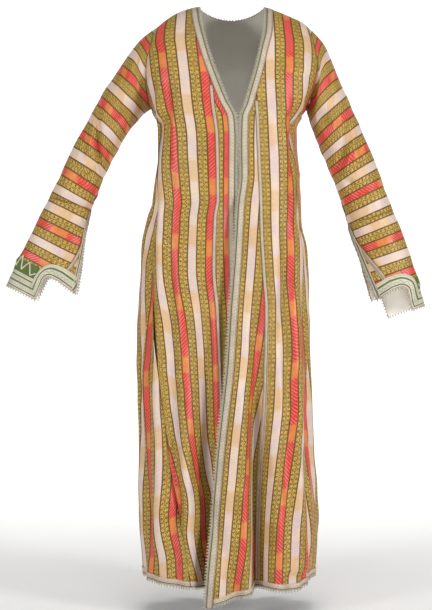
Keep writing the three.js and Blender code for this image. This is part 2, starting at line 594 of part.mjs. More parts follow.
// The back's columns crowd at the neck points, where its top line turns up from the neckline to the shoulders.
const NECK_MIDDLE = (NECK_POINT.right + NECK_POINT.left) / 2;
const NECK_HALF = (NECK_POINT.left - NECK_POINT.right) / 2;
const NECK_STOPS = spread(0, 1, 10).map((t) => NECK_MIDDLE - NECK_HALF * Math.cos(Math.PI * t));
const SHOULDER_TIP = { right: -165, left: 158 };
const BACK_TOP_X = [
  ...spread(SHOULDER_TIP.right, NECK_POINT.right, 4).slice(0, -1),
  ...NECK_STOPS,
  ...spread(NECK_POINT.left, SHOULDER_TIP.left, 4).slice(1),
];
function backTopZ(x) {
  const share = (x - NECK_MIDDLE) / NECK_HALF;
  return Math.abs(share) < 1 ? -BACK_NECK_DIP * (1 - share * share) : shoulderZ(x);
}
function backPanel() {
  const lines = [outerLine("right", "back", BACK_RIGHT), outerLine("left", "back", BACK_LEFT)];
  const width = SHOULDER_TIP.left - SHOULDER_TIP.right;
  const place = (topX, row) => {
    const share = (topX - SHOULDER_TIP.right) / width;
    const hem = read(HEM, "way", "z", mix(WAYS.right.back, WAYS.left.back, share));
    const z = heightOf(row, backTopZ(topX), hem);
    const [right, left] = lines.map((line) => line(z));
    const angle = angleOnFace("back", mix(right, left, share), z);
    if (share > 0 && share < 1) return onBody(angle, z, "both");
    const other = angleOnFace("back", share === 0 ? left : right, z);
    return onBody(angle + gapTurn(angle, other, z), z, "both");
  };
  return { place, stops: BACK_TOP_X };
}

const robe = new THREE.Group();
const panels = { back: { ...backPanel(), rows: LONG_ROWS } };
for (const side of ["right", "left"]) {
  panels[`front_${side}`] = { ...frontPanel(side), rows: LONG_ROWS };
  panels[`front_gore_${side}`] = { ...gorePanel(side), rows: rowsUnder(SIDES[side].gore[0].z - 10), edge: "last" };
  panels[`side_wedge_${side}`] = { ...wedgePanel(side), rows: skirt(SKIRT_ROWS) };
}
for (const [name, panel] of Object.entries(panels)) {
  robe.add(cloth(name, panel.stops, panel.rows, panel.place));
}

// ---- Trims of the body ---------------------------------------------------------------------------------------
// The hem braid is laid on the last row of each panel, and stops beside the braids down the front edges.
for (const [name, panel] of Object.entries(panels)) {
  const stops = panel.edge ? panel.stops.slice(0, 1 - EDGE_STOPS.length) : panel.stops;
  const clear = (stop) => (stop.last === EDGE_BRAID_WIDTH ? { last: EDGE_BRAID_WIDTH + SEAM_GAP } : stop);
  robe.add(braid(`hem_braid_${name}`, stops.map(clear), skirt([BRAID_ROW, 1]), panel.place));
}

// The edge braid runs from the neck point down the V and the opening to the hem: over the front panel, then over the
// gore as soon as the gore is wide enough. Below the armpit it is laid on the gore's own points.
for (const side of ["right", "left"]) {
  const { edge, layer } = SIDES[side];
  const gore = panels[`front_gore_${side}`];
  const outward = side === "right" ? -1 : 1;
  const place = (mm, row) => {
    if (row.below !== undefined) return gore.place({ last: mm }, row);
    const xAt = (z) => read(edge, "z", "x", z) + outward * mm;
    const z = heightOf(row, fromShoulder(xAt));
    return onBody(angleOnFace("front", xAt(z), z), z, layer);
  };
  robe.add(braid(`edge_braid_${side}`, EDGE_STOPS, LONG_ROWS, place));
}

// The seam braid covers the gore seam from beside the edge braid down to the hem braid. It is laid on the points of
// the front and the gore on each side of the seam.
for (const side of ["right", "left"]) {
  const { edge, gore } = SIDES[side];
  const goreWidth = (z) => Math.abs(read(edge, "z", "x", z) - read(gore, "z", "x", z));
  let top = gore[0].z;
  while (goreWidth(top) < EDGE_BRAID_WIDTH + SEAM_BRAID_WIDTH / 2 + 1) top -= 1;
  const rows = rowsUnder(top).slice(0, -2);
  rows.push({ below: BRAID_ROW - 2 / SKIRT });
  if (top > ARMPIT + 10) rows.unshift({ above: top / ARMPIT });
  const [onFront, onGore] = [panels[`front_${side}`].place, panels[`front_gore_${side}`].place];
  const place = (stop, row) => {
    if (stop.on) return stop.on({ first: SEAM_BRAID_WIDTH / 2 }, row);
    const [a, b] = [onFront({ first: 0 }, row), onGore({ first: 0 }, row)];
    return { point: a.point.add(b.point).multiplyScalar(0.5), normal: a.normal.add(b.normal).normalize() };
  };
  robe.add(braid(`gore_seam_braid_${side}`, [{ on: onFront }, {}, { on: onGore }], rows, place));
}

// The neck braid goes on across the back of the neck, between the two shoulder lines.
{
  const onBack = (x, z) => onBody(angleOnFace("back", x, z), z, "both");
  const place = (x, row) => {
    const top = backTopZ(x);
    const start = onBack(x, top).point;
    let z = top;
    while (onBack(x, z).point.distanceTo(start) < EDGE_BRAID_WIDTH * row) z -= 0.1;
    return onBack(x, z);
  };
  robe.add(braid("neck_braid_back", NECK_STOPS, spread(0, 1, 4), place, NECK_BRAID_LIFT));
}

// A dark facing lines the hem of the back.
robe.add(
  wall(
    "hem_facing_back",
    "facing",
    panels.back.stops,
    skirt([FACING_ROW, BRAID_ROW, 1]),
    panels.back.place,
    -CLOTH - 0.3 - 0.9,
    -CLOTH - 0.3,
  ),
);

// ---- Sleeves -------------------------------------------------------------------------------------------------
// Round a sleeve the angle is 0 on its outer line, PI/2 at the front and PI on its inner line. Its first section is
// the armhole itself, which the following ones leave over ARMHOLE_EASE.
const ARMHOLE_EASE = 80;
// Rows of the lower piece, as shares of the way from its seam to the cuff, and where the gore's point lies in them.
const LOWER_ROWS = [0, 0.12, 0.22, 0.36, 0.52, 0.68, 0.84, 1];
const GORE_APEX = 0.14;

function sleeveSurface(side) {
  const table = side === "right" ? SLEEVE_RIGHT : SLEEVE_LEFT;
  const outward = side === "right" ? -1 : 1;
  const oval = (along, round) => {
    const value = (column) => read(table, "along", column, along);
    const opened = SLIT_SPREAD * smooth((along - SLEEVE_JOIN) / (CUFF_AT - SLEEVE_JOIN));
    const turned = round * (1 - opened / Math.PI);
    const outer = (Math.cos(turned) + Math.cos(opened)) / (1 + Math.cos(opened));
    const x = mix(value("innerX"), value("outerX"), outer);
    const z = mix(value("innerZ"), value("outerZ"), outer);
    const depth = value(Math.sin(turned) > 0 ? "front" : "back");
    return new THREE.Vector3(x, -depth * Math.sin(turned), z);
  };
  const armhole = (round) => {
    const z = mix(ARMPIT, ARMHOLE_TOP, (1 + Math.cos(round)) / 2);
    const face = Math.sin(round) >= 0 ? "front" : "back";
    const point = bodyPoint(angleAt(face, armholeX(side, face, z), z), z, "both");
    return point.add(new THREE.Vector3(outward * (SEAM_GAP + 0.1), 0, 0));
  };
  const base = (along, round) => {
    const point = oval(along, round);
    const left = 1 - smooth(along / ARMHOLE_EASE);
    return left > 0 ? point.add(armhole(round).sub(oval(0, round)).multiplyScalar(left)) : point;
  };
  return (along, round) => {
    const point = base(along, round);
    let out = 0;
    for (const crease of CREASES) {
      const share = (along - crease.from) / (crease.to - crease.from);
      if (share < 0 || share > 1) continue;
      const away = turnBetween(round, mix(crease.roundFrom, crease.roundTo, share)) / crease.half;
      out += crease.depth * Math.sin(Math.PI * share) ** 2 * Math.exp(-away * away);
    }
    const middle = base(along, 0).add(base(along, Math.PI)).multiplyScalar(0.5);
    return point.addScaledVector(point.clone().sub(middle).normalize(), out);
  };
}

// Half the distance round a sleeve, and the angle at a distance round from the tongue's middle.
function sleeveRound(side) {
  const table = side === "right" ? SLEEVE_RIGHT : SLEEVE_LEFT;
  const value = (column, along) => read(table, "along", column, along);
  const longAt = (along) => {
    const across = value("outerX", along) - value("innerX", along);
    return Math.hypot(across, value("outerZ", along) - value("innerZ", along)) / 2;
  };
  const ovalHalf = (long, depth) => Math.PI * Math.sqrt((long * long + depth * depth) / 2);
  const halfGirth = (along) => {
    const long = longAt(along);
    return (ovalHalf(long, value("front", along)) + ovalHalf(long, value("back", along))) / 2;
  };
  const angleOf = (along, distance) => {
    const past = distance - OUTER_LINE[side];
    const half = halfGirth(along) - Math.sign(past) * OUTER_LINE[side];
    const even = (Math.PI * past) / half;
    const [long, depth] = [longAt(along), value(past > 0 ? "front" : "back", along)];
    const flat = (long * long - depth * depth) / (long * long + depth * depth);
    return even + 0.22 * flat * Math.sin(2 * even);
  };
  return { halfGirth, angleOf };
}

for (const side of ["right", "left"]) {
  const surface = sleeveSurface(side);
  const { halfGirth, angleOf } = sleeveRound(side);
  const outward = side === "right" ? -1 : 1;
  // Where the sleeve is sewn on over the shoulder its wall stands as the body's does.
  const place = (along, round) => {
    const { point, normal } = facing((a, b) => surface(b, a), round, along, 0.02, 1);
    normal.multiplyScalar(outward);
    if (along > 0 || Math.cos(round) < 0) return { point, normal };
    const face = Math.sin(round) >= 0 ? "front" : "back";
    const body = onBody(angleAt(face, armholeX(side, face, point.z), point.z), point.z, "both").normal;
    return { point, normal: normal.lerp(body, smooth(1.5 * Math.cos(round))).normalize() };
  };
  const ring = spread(0, 2 * Math.PI, 2 * YOKE_STEPS).slice(0, -1);
  const upperRows = [0, 12, 34, 66, 105, 145, 190, 235, 280, 325, 365, SLEEVE_JOIN - HALF_GAP];
  robe.add(wall(`sleeve_upper_${side}`, "silk", ring, upperRows, (c, r) => place(r, c), -CLOTH, 0, true));

  // In the lower piece a place is a distance round from the tongue's middle and one along.
  const onLower = (distance, along) => place(along, angleOf(along, distance));
  const start = SLEEVE_JOIN + HALF_GAP;
  const slitAt = (along) => {
    const open = clamp((along - SLEEVE_JOIN) / (CUFF_AT - SLEEVE_JOIN), 0, 1);
    return halfGirth(along) - mix(HALF_GAP, SLIT_OPEN / 2, open);
  };
  const half = SEAM_BRAID_WIDTH / 2;
  const slitRound = slitAt(CUFF_AT + SLIT_CORNER_PAST);
  const besideSlit = { round: slitRound - SLIT_BRAID_WIDTH, past: 3, inRound: 0, inPast: -1 };
  const midGore = { round: (GORE_LINE_AT_CUFF + half + besideSlit.round) / 2, past: 0, inRound: 0, inPast: -1 };
  const toSlit = [...CUFF_EDGE, midGore, besideSlit];
  const cuffEdge = [...toSlit, { round: slitRound, past: SLIT_CORNER_PAST }];
  const cuffAt = (distance) => {
    const at = Math.min(Math.abs(distance), slitRound);
    const i = clamp(cuffEdge.findIndex((point) => point.round >= at), 1, cuffEdge.length - 1);
    const [a, b] = [cuffEdge[i - 1], cuffEdge[i]];
    return CUFF_AT + mix(a.past, b.past, b.round === a.round ? 1 : (at - a.round) / (b.round - a.round));
  };
  // The gore's seam leaves the slit below its top and reaches the cuff beyond the notch. What room the gore has
  // between that seam and the slit is shared out where it is narrow.
  const goreLine = (share) => {
    const slit = slitAt(mix(start, CUFF_AT, share));
    return mix(slit, GORE_LINE_AT_CUFF, clamp((share - GORE_APEX) / (1 - GORE_APEX), 0, 1));
  };
  const goreRoom = (share) => slitAt(mix(start, CUFF_AT, share)) - goreLine(share);
  const lowerPlace = (stop, share) => {
    const roundAt = (along) => {
      if (stop.slit !== undefined) return Math.sign(stop.slit) * (slitAt(along) - Math.abs(stop.slit));
      if (stop.behind) return -mix(GORE_LINE_AT_CUFF, slitAt(along) - SLIT_BRAID_WIDTH, stop.behind);
      return stop.gore === undefined ? stop.round : goreLine(share) + stop.gore;
    };
    const along = mix(start, cuffAt(roundAt(CUFF_AT)), share);
    return onLower(roundAt(along), along);
  };
  const apart = (round) => (round === TONGUE_HALF ? [round - 0.6, round + 0.6] : [round]);
  const rounds = [...new Set(toSlit.map((point) => point.round))].slice(1).flatMap(apart);
  // Behind the tongue the cloth narrows towards the sleeve, so its last stop before the slit keeps its share.
  const behind = (midGore.round - GORE_LINE_AT_CUFF) / (besideSlit.round - GORE_LINE_AT_CUFF);
  const backStops = [{ slit: -EDGE_ON }, { slit: -SLIT_BRAID_WIDTH }, { behind }];
  for (const round of rounds.slice(0, -2).toReversed()) backStops.push({ round: -round });
  const frontStops = rounds.filter((round) => round < GORE_LINE_AT_CUFF - 6).map((round) => ({ round }));
  const lowerStops = [...backStops, { round: 0 }, ...frontStops, { gore: -half }, { gore: -HALF_GAP }];
  robe.add(cloth(`sleeve_lower_${side}`, lowerStops, LOWER_ROWS, lowerPlace));

  const gorePlace = (stop, share) => {
    const fit = Math.min(1, goreRoom(share) / (half + SLIT_BRAID_WIDTH + 1));
    const [first, last] = [half * fit, SLIT_BRAID_WIDTH * fit];
    if (stop.gore) return lowerPlace({ gore: Math.max(HALF_GAP, stop.gore * fit) }, share);
    if (stop.middle) return lowerPlace({ gore: mix(first, goreRoom(share) - last, stop.middle) }, share);
    return lowerPlace({ slit: Math.max(EDGE_ON, stop.slit * fit) }, share);
  };
  const goreStops = [{ gore: HALF_GAP }, { gore: half }, { middle: 0.5 }, { slit: SLIT_BRAID_WIDTH }, { slit: EDGE_ON }];
  robe.add(cloth(`sleeve_gore_${side}`, goreStops, LOWER_ROWS.slice(2), gorePlace));
  const clearOfSlit = (share) => goreRoom(share) > SLIT_BRAID_WIDTH + half + 1;
  const seamRows = spread(0.36, 0.84, 6).filter(clearOfSlit);
  const seamPlace = (mm, share) => lowerPlace({ gore: mm }, share);
  robe.add(braid(`sleeve_seam_braid_${side}`, [-half, 0, half], seamRows, seamPlace));

  // The cuff braid follows the cut edge from the top of the slit's one side to the top of its other side.
  const slitEdge = [0.04, ...LOWER_ROWS.slice(1, -1)].map((share) => {
    const along = mix(start, CUFF_AT + SLIT_CORNER_PAST, share);
    return { along, round: slitAt(along), inRound: -SLIT_BRAID_WIDTH / CUFF_BRAID_WIDTH, inPast: 0 };
  });
  const corner = { ...slitEdge[0], along: CUFF_AT + SLIT_CORNER_PAST, round: slitRound, inPast: -1 };
  const fromMiddle = toSlit.map((point) => ({ ...point, along: CUFF_AT + point.past }));
  fromMiddle.push(corner, ...slitEdge.toReversed());
  const route = [
    ...fromMiddle.slice(1).toReversed().map((point) => ({ ...point, sign: -1 })),
    ...fromMiddle.map((point) => ({ ...point, sign: 1 })),
  ];
  const cuffBraid = (point, inward) => {
    const distance = point.sign * (point.round + point.inRound * CUFF_BRAID_WIDTH * inward);
    return onLower(distance, point.along + point.inPast * CUFF_BRAID_WIDTH * inward);
  };
  robe.add(braid(`cuff_braid_${side}`, route, [0.01, 0.5, 1], cuffBraid, CUFF_BRAID_LIFT));
}

export default robe;
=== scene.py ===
# A qombaz robe of striped silk, worn open at the neck and lapped left over right. Metres, +Z up; the robe faces -Y
# and +X is the wearer's left. Sizes of the cut are in millimetres until a piece's points are laid down.
import functools
import math

import bmesh
import bpy
import numpy as np
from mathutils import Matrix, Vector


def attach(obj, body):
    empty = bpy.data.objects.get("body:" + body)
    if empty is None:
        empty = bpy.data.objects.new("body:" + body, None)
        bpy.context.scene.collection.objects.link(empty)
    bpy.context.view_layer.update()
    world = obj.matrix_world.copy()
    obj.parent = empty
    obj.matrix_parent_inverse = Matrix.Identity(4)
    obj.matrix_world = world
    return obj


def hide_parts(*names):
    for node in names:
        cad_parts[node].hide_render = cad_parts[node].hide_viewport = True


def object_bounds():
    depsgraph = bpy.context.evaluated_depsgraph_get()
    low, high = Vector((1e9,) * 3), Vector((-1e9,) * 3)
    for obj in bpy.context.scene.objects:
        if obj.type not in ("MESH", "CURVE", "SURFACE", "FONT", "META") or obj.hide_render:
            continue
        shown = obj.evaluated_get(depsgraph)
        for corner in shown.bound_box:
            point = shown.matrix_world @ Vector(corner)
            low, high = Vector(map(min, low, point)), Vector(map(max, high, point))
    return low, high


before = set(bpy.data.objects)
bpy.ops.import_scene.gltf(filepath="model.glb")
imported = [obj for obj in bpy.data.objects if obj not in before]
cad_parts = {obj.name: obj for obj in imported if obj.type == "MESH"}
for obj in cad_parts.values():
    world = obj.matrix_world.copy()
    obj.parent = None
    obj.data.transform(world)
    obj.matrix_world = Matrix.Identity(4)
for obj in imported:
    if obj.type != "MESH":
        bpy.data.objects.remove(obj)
cad_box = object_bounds()

# ---- Camera -------------------------------------------------------------------------------------------------------
# Level with the hips, straight in front, far enough away for the robe to look nearly flat.
CAMERA_AWAY = 3.2
VIEW_CENTRE = (-0.040, -0.654)
VIEW_HEIGHT = 1.342

bpy.context.scene.view_settings.view_transform = "Standard"
lens = bpy.data.cameras.new("camera")
lens.sensor_fit = "VERTICAL"
lens.sensor_height = 24
lens.lens = lens.sensor_height * CAMERA_AWAY / VIEW_HEIGHT
camera = bpy.data.objects.new("camera", lens)
camera.location = (VIEW_CENTRE[0], -CAMERA_AWAY, VIEW_CENTRE[1])
camera.rotation_euler = (math.radians(90), 0, 0)
bpy.context.scene.collection.objects.link(camera)
bpy.context.scene.camera = camera

# ---- How the silk hangs --------------------------------------------------------------------------------------------
# The robe is cut from one silk and hangs as one hollow body. Each level section is an ellipse with full corners, and
# the folds stand out from it or sink into it. Every panel and braid below is laid on this same surface.
BODY = [  # height, how far the cloth reaches to the wearer's right and left, forward and back
    (12, -62, 56, -10, 10), (0, -78, 67, -20, 22), (-7, -109, 86, -34, 38), (-21, -137, 118, -54, 60),
    (-42, -165, 158, -70, 76), (-60, -181, 171, -82, 87), (-90, -194, 185, -98, 101),
    (-130, -202, 193, -111, 112), (-180, -197, 181, -120, 115), (-224, -184, 158, -122, 112),
    (-268, -163, 132, -118, 105), (-301, -164, 133, -113, 99), (-359, -172, 141, -106, 93),
    (-427, -181, 145, -104, 92), (-469, -191, 146, -106, 95), (-524, -202, 156, -112, 101),
    (-581, -204, 160, -118, 106), (-649, -208, 163, -124, 111), (-781, -213, 168, -131, 118),
    (-957, -208, 172, -138, 126), (-1133, -205, 183, -146, 134), (-1210, -200, 178, -150, 138),
    (-1300, -196, 174, -152, 140),
]
SIDES = ("right", "left")
OUTWARD = {"right": -1, "left": 1}
ARMHOLE_TOP, ARMPIT, ARMHOLE_HALF = -42, -222, 66
CORNER_FULLNESS = 0.07
# The lap: where it starts, how soon it is full, how far its under layer lies back and its over layer stands out, and
# over how much of a turn each of them eases into the rest of the robe.
LAP_TOP, LAP_EASE = -405, 60
LAP_BACK, LAP_OUT = 13, 2
UNDER_EASE, OVER_EASE = 0.3, 0.6
LAYER = {"right": "under", "left": "over"}

# The opening edges and the seams, as height and x.
EDGE = {
    "right": [(0, -78), (-40, -73), (-84, -63), (-127, -51), (-177, -33), (-219, -16), (-256, 2), (-300, 5),
              (-440, 4), (-700, 10), (-1300, 22)],
    "left": [(0, 67), (-59, 64), (-110, 53), (-157, 42), (-194, 31), (-227, 22), (-256, 11), (-300, 10),
             (-380, 11), (-440, 4), (-550, -3), (-640, -10), (-790, -20), (-960, -38), (-1130, -52), (-1300, -64)],
}
GORE_SEAM = {
    "right": [(-92, -61), (-165, -53), (-227, -47), (-297, -38), (-427, -36), (-469, -42), (-581, -45),
              (-664, -38), (-800, -32), (-1000, -26), (-1300, -18)],
    "left": [(-155, 42.5), (-210, 45), (-257, 48), (-340, 52), (-427, 56), (-497, 57), (-581, 61), (-664, 67),
             (-800, 68), (-1000, 62), (-1160, 59), (-1300, 62)],
}
WEDGE_SEAM = {
    "right": [(-222, -184.2), (-268, -158), (-334, -162), (-385, -167), (-429, -163), (-506, -168), (-570, -181),
              (-664, -174), (-726, -167), (-887, -150), (-1027, -134), (-1159, -106), (-1300, -86)],
    "left": [(-222, 158.4), (-268, 127), (-359, 134), (-427, 138), (-560, 150), (-670, 146), (-781, 143),
             (-957, 147), (-1133, 156), (-1300, 148)],
}
BACK_SEAM = {
    "right": [(-222, -184.2), (-268, -156), (-427, -166), (-649, -168), (-957, -142), (-1300, -108)],
    "left": [(-222, 158.4), (-268, 125), (-427, 132), (-649, 128), (-957, 112), (-1300, 92)],
}
# The hem's height by the way round, from the right front's edge round the back to the left front's edge.
HEM = [(0, -1254), (0.1, -1256), (0.2, -1248), (0.3, -1226), (0.42, -1244), (0.55, -1262), (0.7, -1252),
       (0.78, -1240), (0.86, -1256), (0.92, -1252), (0.955, -1266), (1, -1288)]
HEM_WAY = {"right": {"edge": 0, "gore": 0.05, "outer": 0.2, "back": 0.36},
           "left": {"edge": 1, "gore": 0.93, "outer": 0.82, "back": 0.66}}

# The folds on each face and layer of the lap. Each has its x at the top and at the hem, then the heights where it
# starts, is full and has faded out, its half width, and how far it stands out (+) or sinks in (-).
FOLDS = {
    ("front", "both"): [
        (-178, -190, -330, -640, -1500, 13, -7), (-160, -166, -380, -700, -1500, 16, 8),
        (-146, -128, -150, -260, -430, 12, -10), (-163, -150, -130, -240, -400, 11, 7),
        (-146, -118, -420, -800, -1500, 15, -10), (-118, -92, -430, -900, -1500, 17, 11),
        (-104, -92, -240, -400, -760, 16, -5), (84, 92, -420, -1000, -1500, 20, 11),
        (108, 112, -380, -620, -1100, 12, -7), (128, 106, -140, -300, -470, 12, -10),
        (146, 122, -130, -260, -430, 10, 6), (132, 134, -480, -900, -1500, 13, 7),
        (146, 164, -500, -900, -1500, 12, -8),
    ],
    ("front", "under"): [
        (-62, -64, -430, -1000, -1500, 18, -32), (-44, -38, -380, -640, -1000, 11, 8),
        (-20, -28, -500, -800, -1500, 14, -8),
    ],
    ("front", "over"): [
        (24, -30, -470, -900, -1500, 20, 7), (24, 6, -300, -560, -900, 9, -5),
        (30, 32, -600, -1180, -1600, 17, 13), (42, 56, -520, -1180, -1600, 16, -58),
    ],
    ("back", "both"): [
        (-128, -150, -380, -900, -1500, 20, -18), (-94, -112, -400, -900, -1500, 22, 14),
        (-52, -66, -360, -1000, -1500, 22, -26), (-12, -16, -420, -1000, -1500, 24, 13),
        (34, 40, -380, -1000, -1500, 22, -27), (76, 88, -400, -900, -1500, 22, 13),
        (112, 132, -380, -900, -1500, 18, -15), (-150, -118, -140, -250, -420, 15, -8),
        (132, 98, -140, -250, -420, 15, -8),
    ],
}
# The height at which a fold has its hem's x, and the way over which it fades out.
FOLD_FOOT, FOLD_FADE = -1280, 200
# A shallow tuck stitched across the left front above its hem: its height, its two ends as x, how far it steps in,
# and over how much cloth its ends, its step and the cloth below it ease out.
TUCK_HEIGHT, TUCK_FROM, TUCK_TO, TUCK_STEP = -1217, 98, 168, 5
TUCK_END_EASE, TUCK_EASE, TUCK_FADE = 12, 6, 90


def smooth(t):
    s = np.clip(t, 0, 1)
    return s * s * (3 - 2 * s)


def follow(points, at, column=1):
    """The smooth value of one column of a list of points, by the points' first column."""
    keys = np.array([p[0] for p in points], float)
    values = np.array([p[column] for p in points], float)
    if keys[-1] < keys[0]:
        keys, at = -keys, -np.asarray(at, float)
    slopes = np.diff(values) / np.diff(keys)
    before, after = slopes[:-1], slopes[1:]
    level = before * after <= 0
    inner = np.where(level, 0, 2 * before * after / np.where(level, 1, before + after))
    tangents = np.concatenate([slopes[:1], inner, slopes[-1:]])
    i = np.clip(np.searchsorted(keys, at) - 1, 0, len(slopes) - 1)
    span = keys[i + 1] - keys[i]
    t = np.clip((at - keys[i]) / span, 0, 1)
    rise = t * t * (3 - 2 * t)
    bend = span * (tangents[i] * (1 - t) - tangents[i + 1] * t)
    return values[i] + (values[i + 1] - values[i]) * rise + t * (1 - t) * bend


def reach(angle):
    return np.cos(angle) * (1 + CORNER_FULLNESS) - np.cos(3 * angle) * CORNER_FULLNESS


def stand(angle):
    return np.sin(angle) * (1 + CORNER_FULLNESS) + np.sin(3 * angle) * CORNER_FULLNESS


TURNS = np.linspace(0, math.pi, 4001)
QUARTER_TURNS = TURNS[:2001]
REACH_OF_TURNS = reach(TURNS)
STAND_OF_TURNS = stand(QUARTER_TURNS)


def section(z):
    """A level section's middle, its half width, and its depth in front and behind."""
    right, left = follow(BODY, z, 1), follow(BODY, z, 2)
    return (left + right) / 2, (left - right) / 2, -follow(BODY, z, 3), follow(BODY, z, 4)


def angle_at(face, x, z):
    """The turn at which the section at that height has that x: 0 at the wearer's left, negative over the front."""
    centre, half, _, _ = section(z)
    found = np.interp(-np.clip((x - centre) / half, -1, 1), -REACH_OF_TURNS, TURNS)
    return -found if face == "front" else found


def between(a, b):
    return (a - b + math.pi) % (2 * math.pi) - math.pi


def creases(angle, z):
    """Small soft unevenness of silk that has been worn: long ripples and furrows that run mostly downwards.

    Each is a product of waves, by their lengths and phases, round the robe at its mean radius and down it.
    """
    round_mm = angle * 150
    slow = np.sin(round_mm / 17 + 1.9 * np.sin(z / 210) + 0.6) * np.sin(z / 240 + round_mm / 90 + 0.8)
    fine = np.sin(round_mm / 8.5 + 2.1 * np.sin(z / 85 + round_mm / 60)) * np.sin(z / 110 + round_mm / 37 + 1.1)
    tucks = np.sin(z / 13 + 2.5 * np.sin(round_mm / 41)) * np.sin(round_mm / 31 + z / 150) ** 2
    furrow = np.exp(-(np.sin(round_mm / 37 + 0.9 * np.sin(z / 170 + 0.4) + 0.5) / 0.30) ** 2)
    furrow = furrow * (0.6 + 0.4 * np.sin(z / 150 + round_mm / 50 + 2.4))
    calm = smooth((-60 - z) / 160)
    low = smooth((-380 - z) / 500)
    return calm * ((2.1 + 2.9 * low) * slow + (1.2 + 1.0 * low) * fine + 0.5 * tucks - (2.5 + 8.0 * low) * furrow)


def hang(angle, z, layer):
    """Points of the robe's outside, in millimetres."""
    angle, z = np.broadcast_arrays(np.asarray(angle, float), np.asarray(z, float))
    centre, half, front, back = section(z)
    depth = np.where(np.sin(angle) < 0, front, back)
    base_x = centre + half * reach(angle)
    out = creases(angle, z)
    here = [(face, *fold) for (face, cloth), folds in FOLDS.items() if cloth in ("both", layer) for fold in folds]
    for face, top_x, foot_x, top, full, foot, fold_half, fold_depth in here:
        down = np.clip((z - top) / (FOLD_FOOT - top), 0, 1)
        middle = angle_at(face, top_x + (foot_x - top_x) * down, z)
        radius = np.hypot(half * np.sin(middle), front * np.cos(middle))
        away = between(angle, middle) * radius / fold_half
        grown = smooth((top - z) / (top - full))
        kept = smooth((z - foot) / min(FOLD_FADE, full - foot))
        shape = np.where((np.abs(away) < 3) & (z <= top) & (z >= foot), np.exp(-away * away), 0)
        out = out + fold_depth * grown * kept * shape
    if layer != "both":
        parted = smooth((LAP_TOP - z) / LAP_EASE)
        past = between(angle, angle_at("front", follow(EDGE["left"], z), z))
        if layer == "over":
            out = out + LAP_OUT * parted * smooth(1 - past / OVER_EASE)
            starts = smooth((base_x - TUCK_FROM) / TUCK_END_EASE)
            ends = smooth((TUCK_TO + TUCK_END_EASE - base_x) / TUCK_END_EASE)
            below = TUCK_HEIGHT - z
            step = smooth(below / TUCK_EASE) * smooth(1 - (below - TUCK_EASE) / TUCK_FADE)
            out = out - TUCK_STEP * starts * ends * (np.sin(angle) < 0) * step
        else:
            out = out - LAP_BACK * parted * smooth(1 + past / UNDER_EASE)
    normal = np.stack([depth * np.cos(angle), half * np.sin(angle), 0 * angle], -1)
    normal /= np.linalg.norm(normal, axis=-1, keepdims=True)
    base = np.stack([base_x, depth * stand(angle), z], -1)
    return base + normal * out[..., None]


def armhole_x(side, face, z):
    """The armhole is an ellipse in side view, laid on the body."""
    centre, half, front, back = section(z)
    swing = np.clip((2 * z - ARMHOLE_TOP - ARMPIT) / (ARMHOLE_TOP - ARMPIT), -1, 1)
    share = ARMHOLE_HALF * np.sqrt(1 - swing * swing) / (front if face == "front" else back)
    turn = np.interp(share, STAND_OF_TURNS, QUARTER_TURNS)
    return centre + OUTWARD[side] * half * reach(turn)


def outer_line(side, face, seam, z):
    """Straight up over the shoulder's tip, round the armhole, then down the seam."""
    return np.where(z > ARMPIT, armhole_x(side, face, np.minimum(z, ARMHOLE_TOP)), follow(seam, z))


SHOULDER_Z = np.linspace(ARMHOLE_TOP, 0, 400)


def shoulder_z(x):
    """The shoulder line's height at an x: the section's own side reaches it there."""
    centre, half, _, _ = section(SHOULDER_Z)
    right = np.interp(x, centre - half, SHOULDER_Z)
    left = np.interp(-x, -(centre + half), SHOULDER_Z)
    return np.where(x < centre[-1], right, left)


SHOULDER_STEP = 0.006


def angle_on_face(face, x, z):
    """angle_at, kept a step clear of the shoulder line, so that the faces don't cross there."""
    found = angle_at(face, x, z)
    return np.sign(found) * np.clip(np.abs(found), SHOULDER_STEP, math.pi - SHOULDER_STEP)


# ---- The striped silk ----------------------------------------------------------------------------------------------
# Silk brocade with a warp of narrow stripes: pinkish cream, olive brocaded with a golden vine, and coral red with
# fine slanting lines. Now and then the cream turns to peach and the red to orange for a short way. Its reverse is
# dull, and undyed cotton lines the sleeves and the top of the body.
STRIPE_REPEAT = 75.0
RED_HALF, CREAM_HALF, BORDER_HALF = 7.2, 8.6, 1.1
# The vine lies so far from the middle of the red stripe, and a flower sits in each half of its wave. Along a red or a
# cream stripe one short length in each run is orange or peach.
VINE_LINE, VINE_WAVE, VINE_SWING = 18.2, 25, 4.4
RED_RUN, ORANGE_HALF = 132.0, 17.0
CREAM_RUN, PEACH_MIDDLE, PEACH_HALF = 141.0, 70.0, 23.0
SLANT_PITCH, WEFT_PITCH = 5.4, 1.3


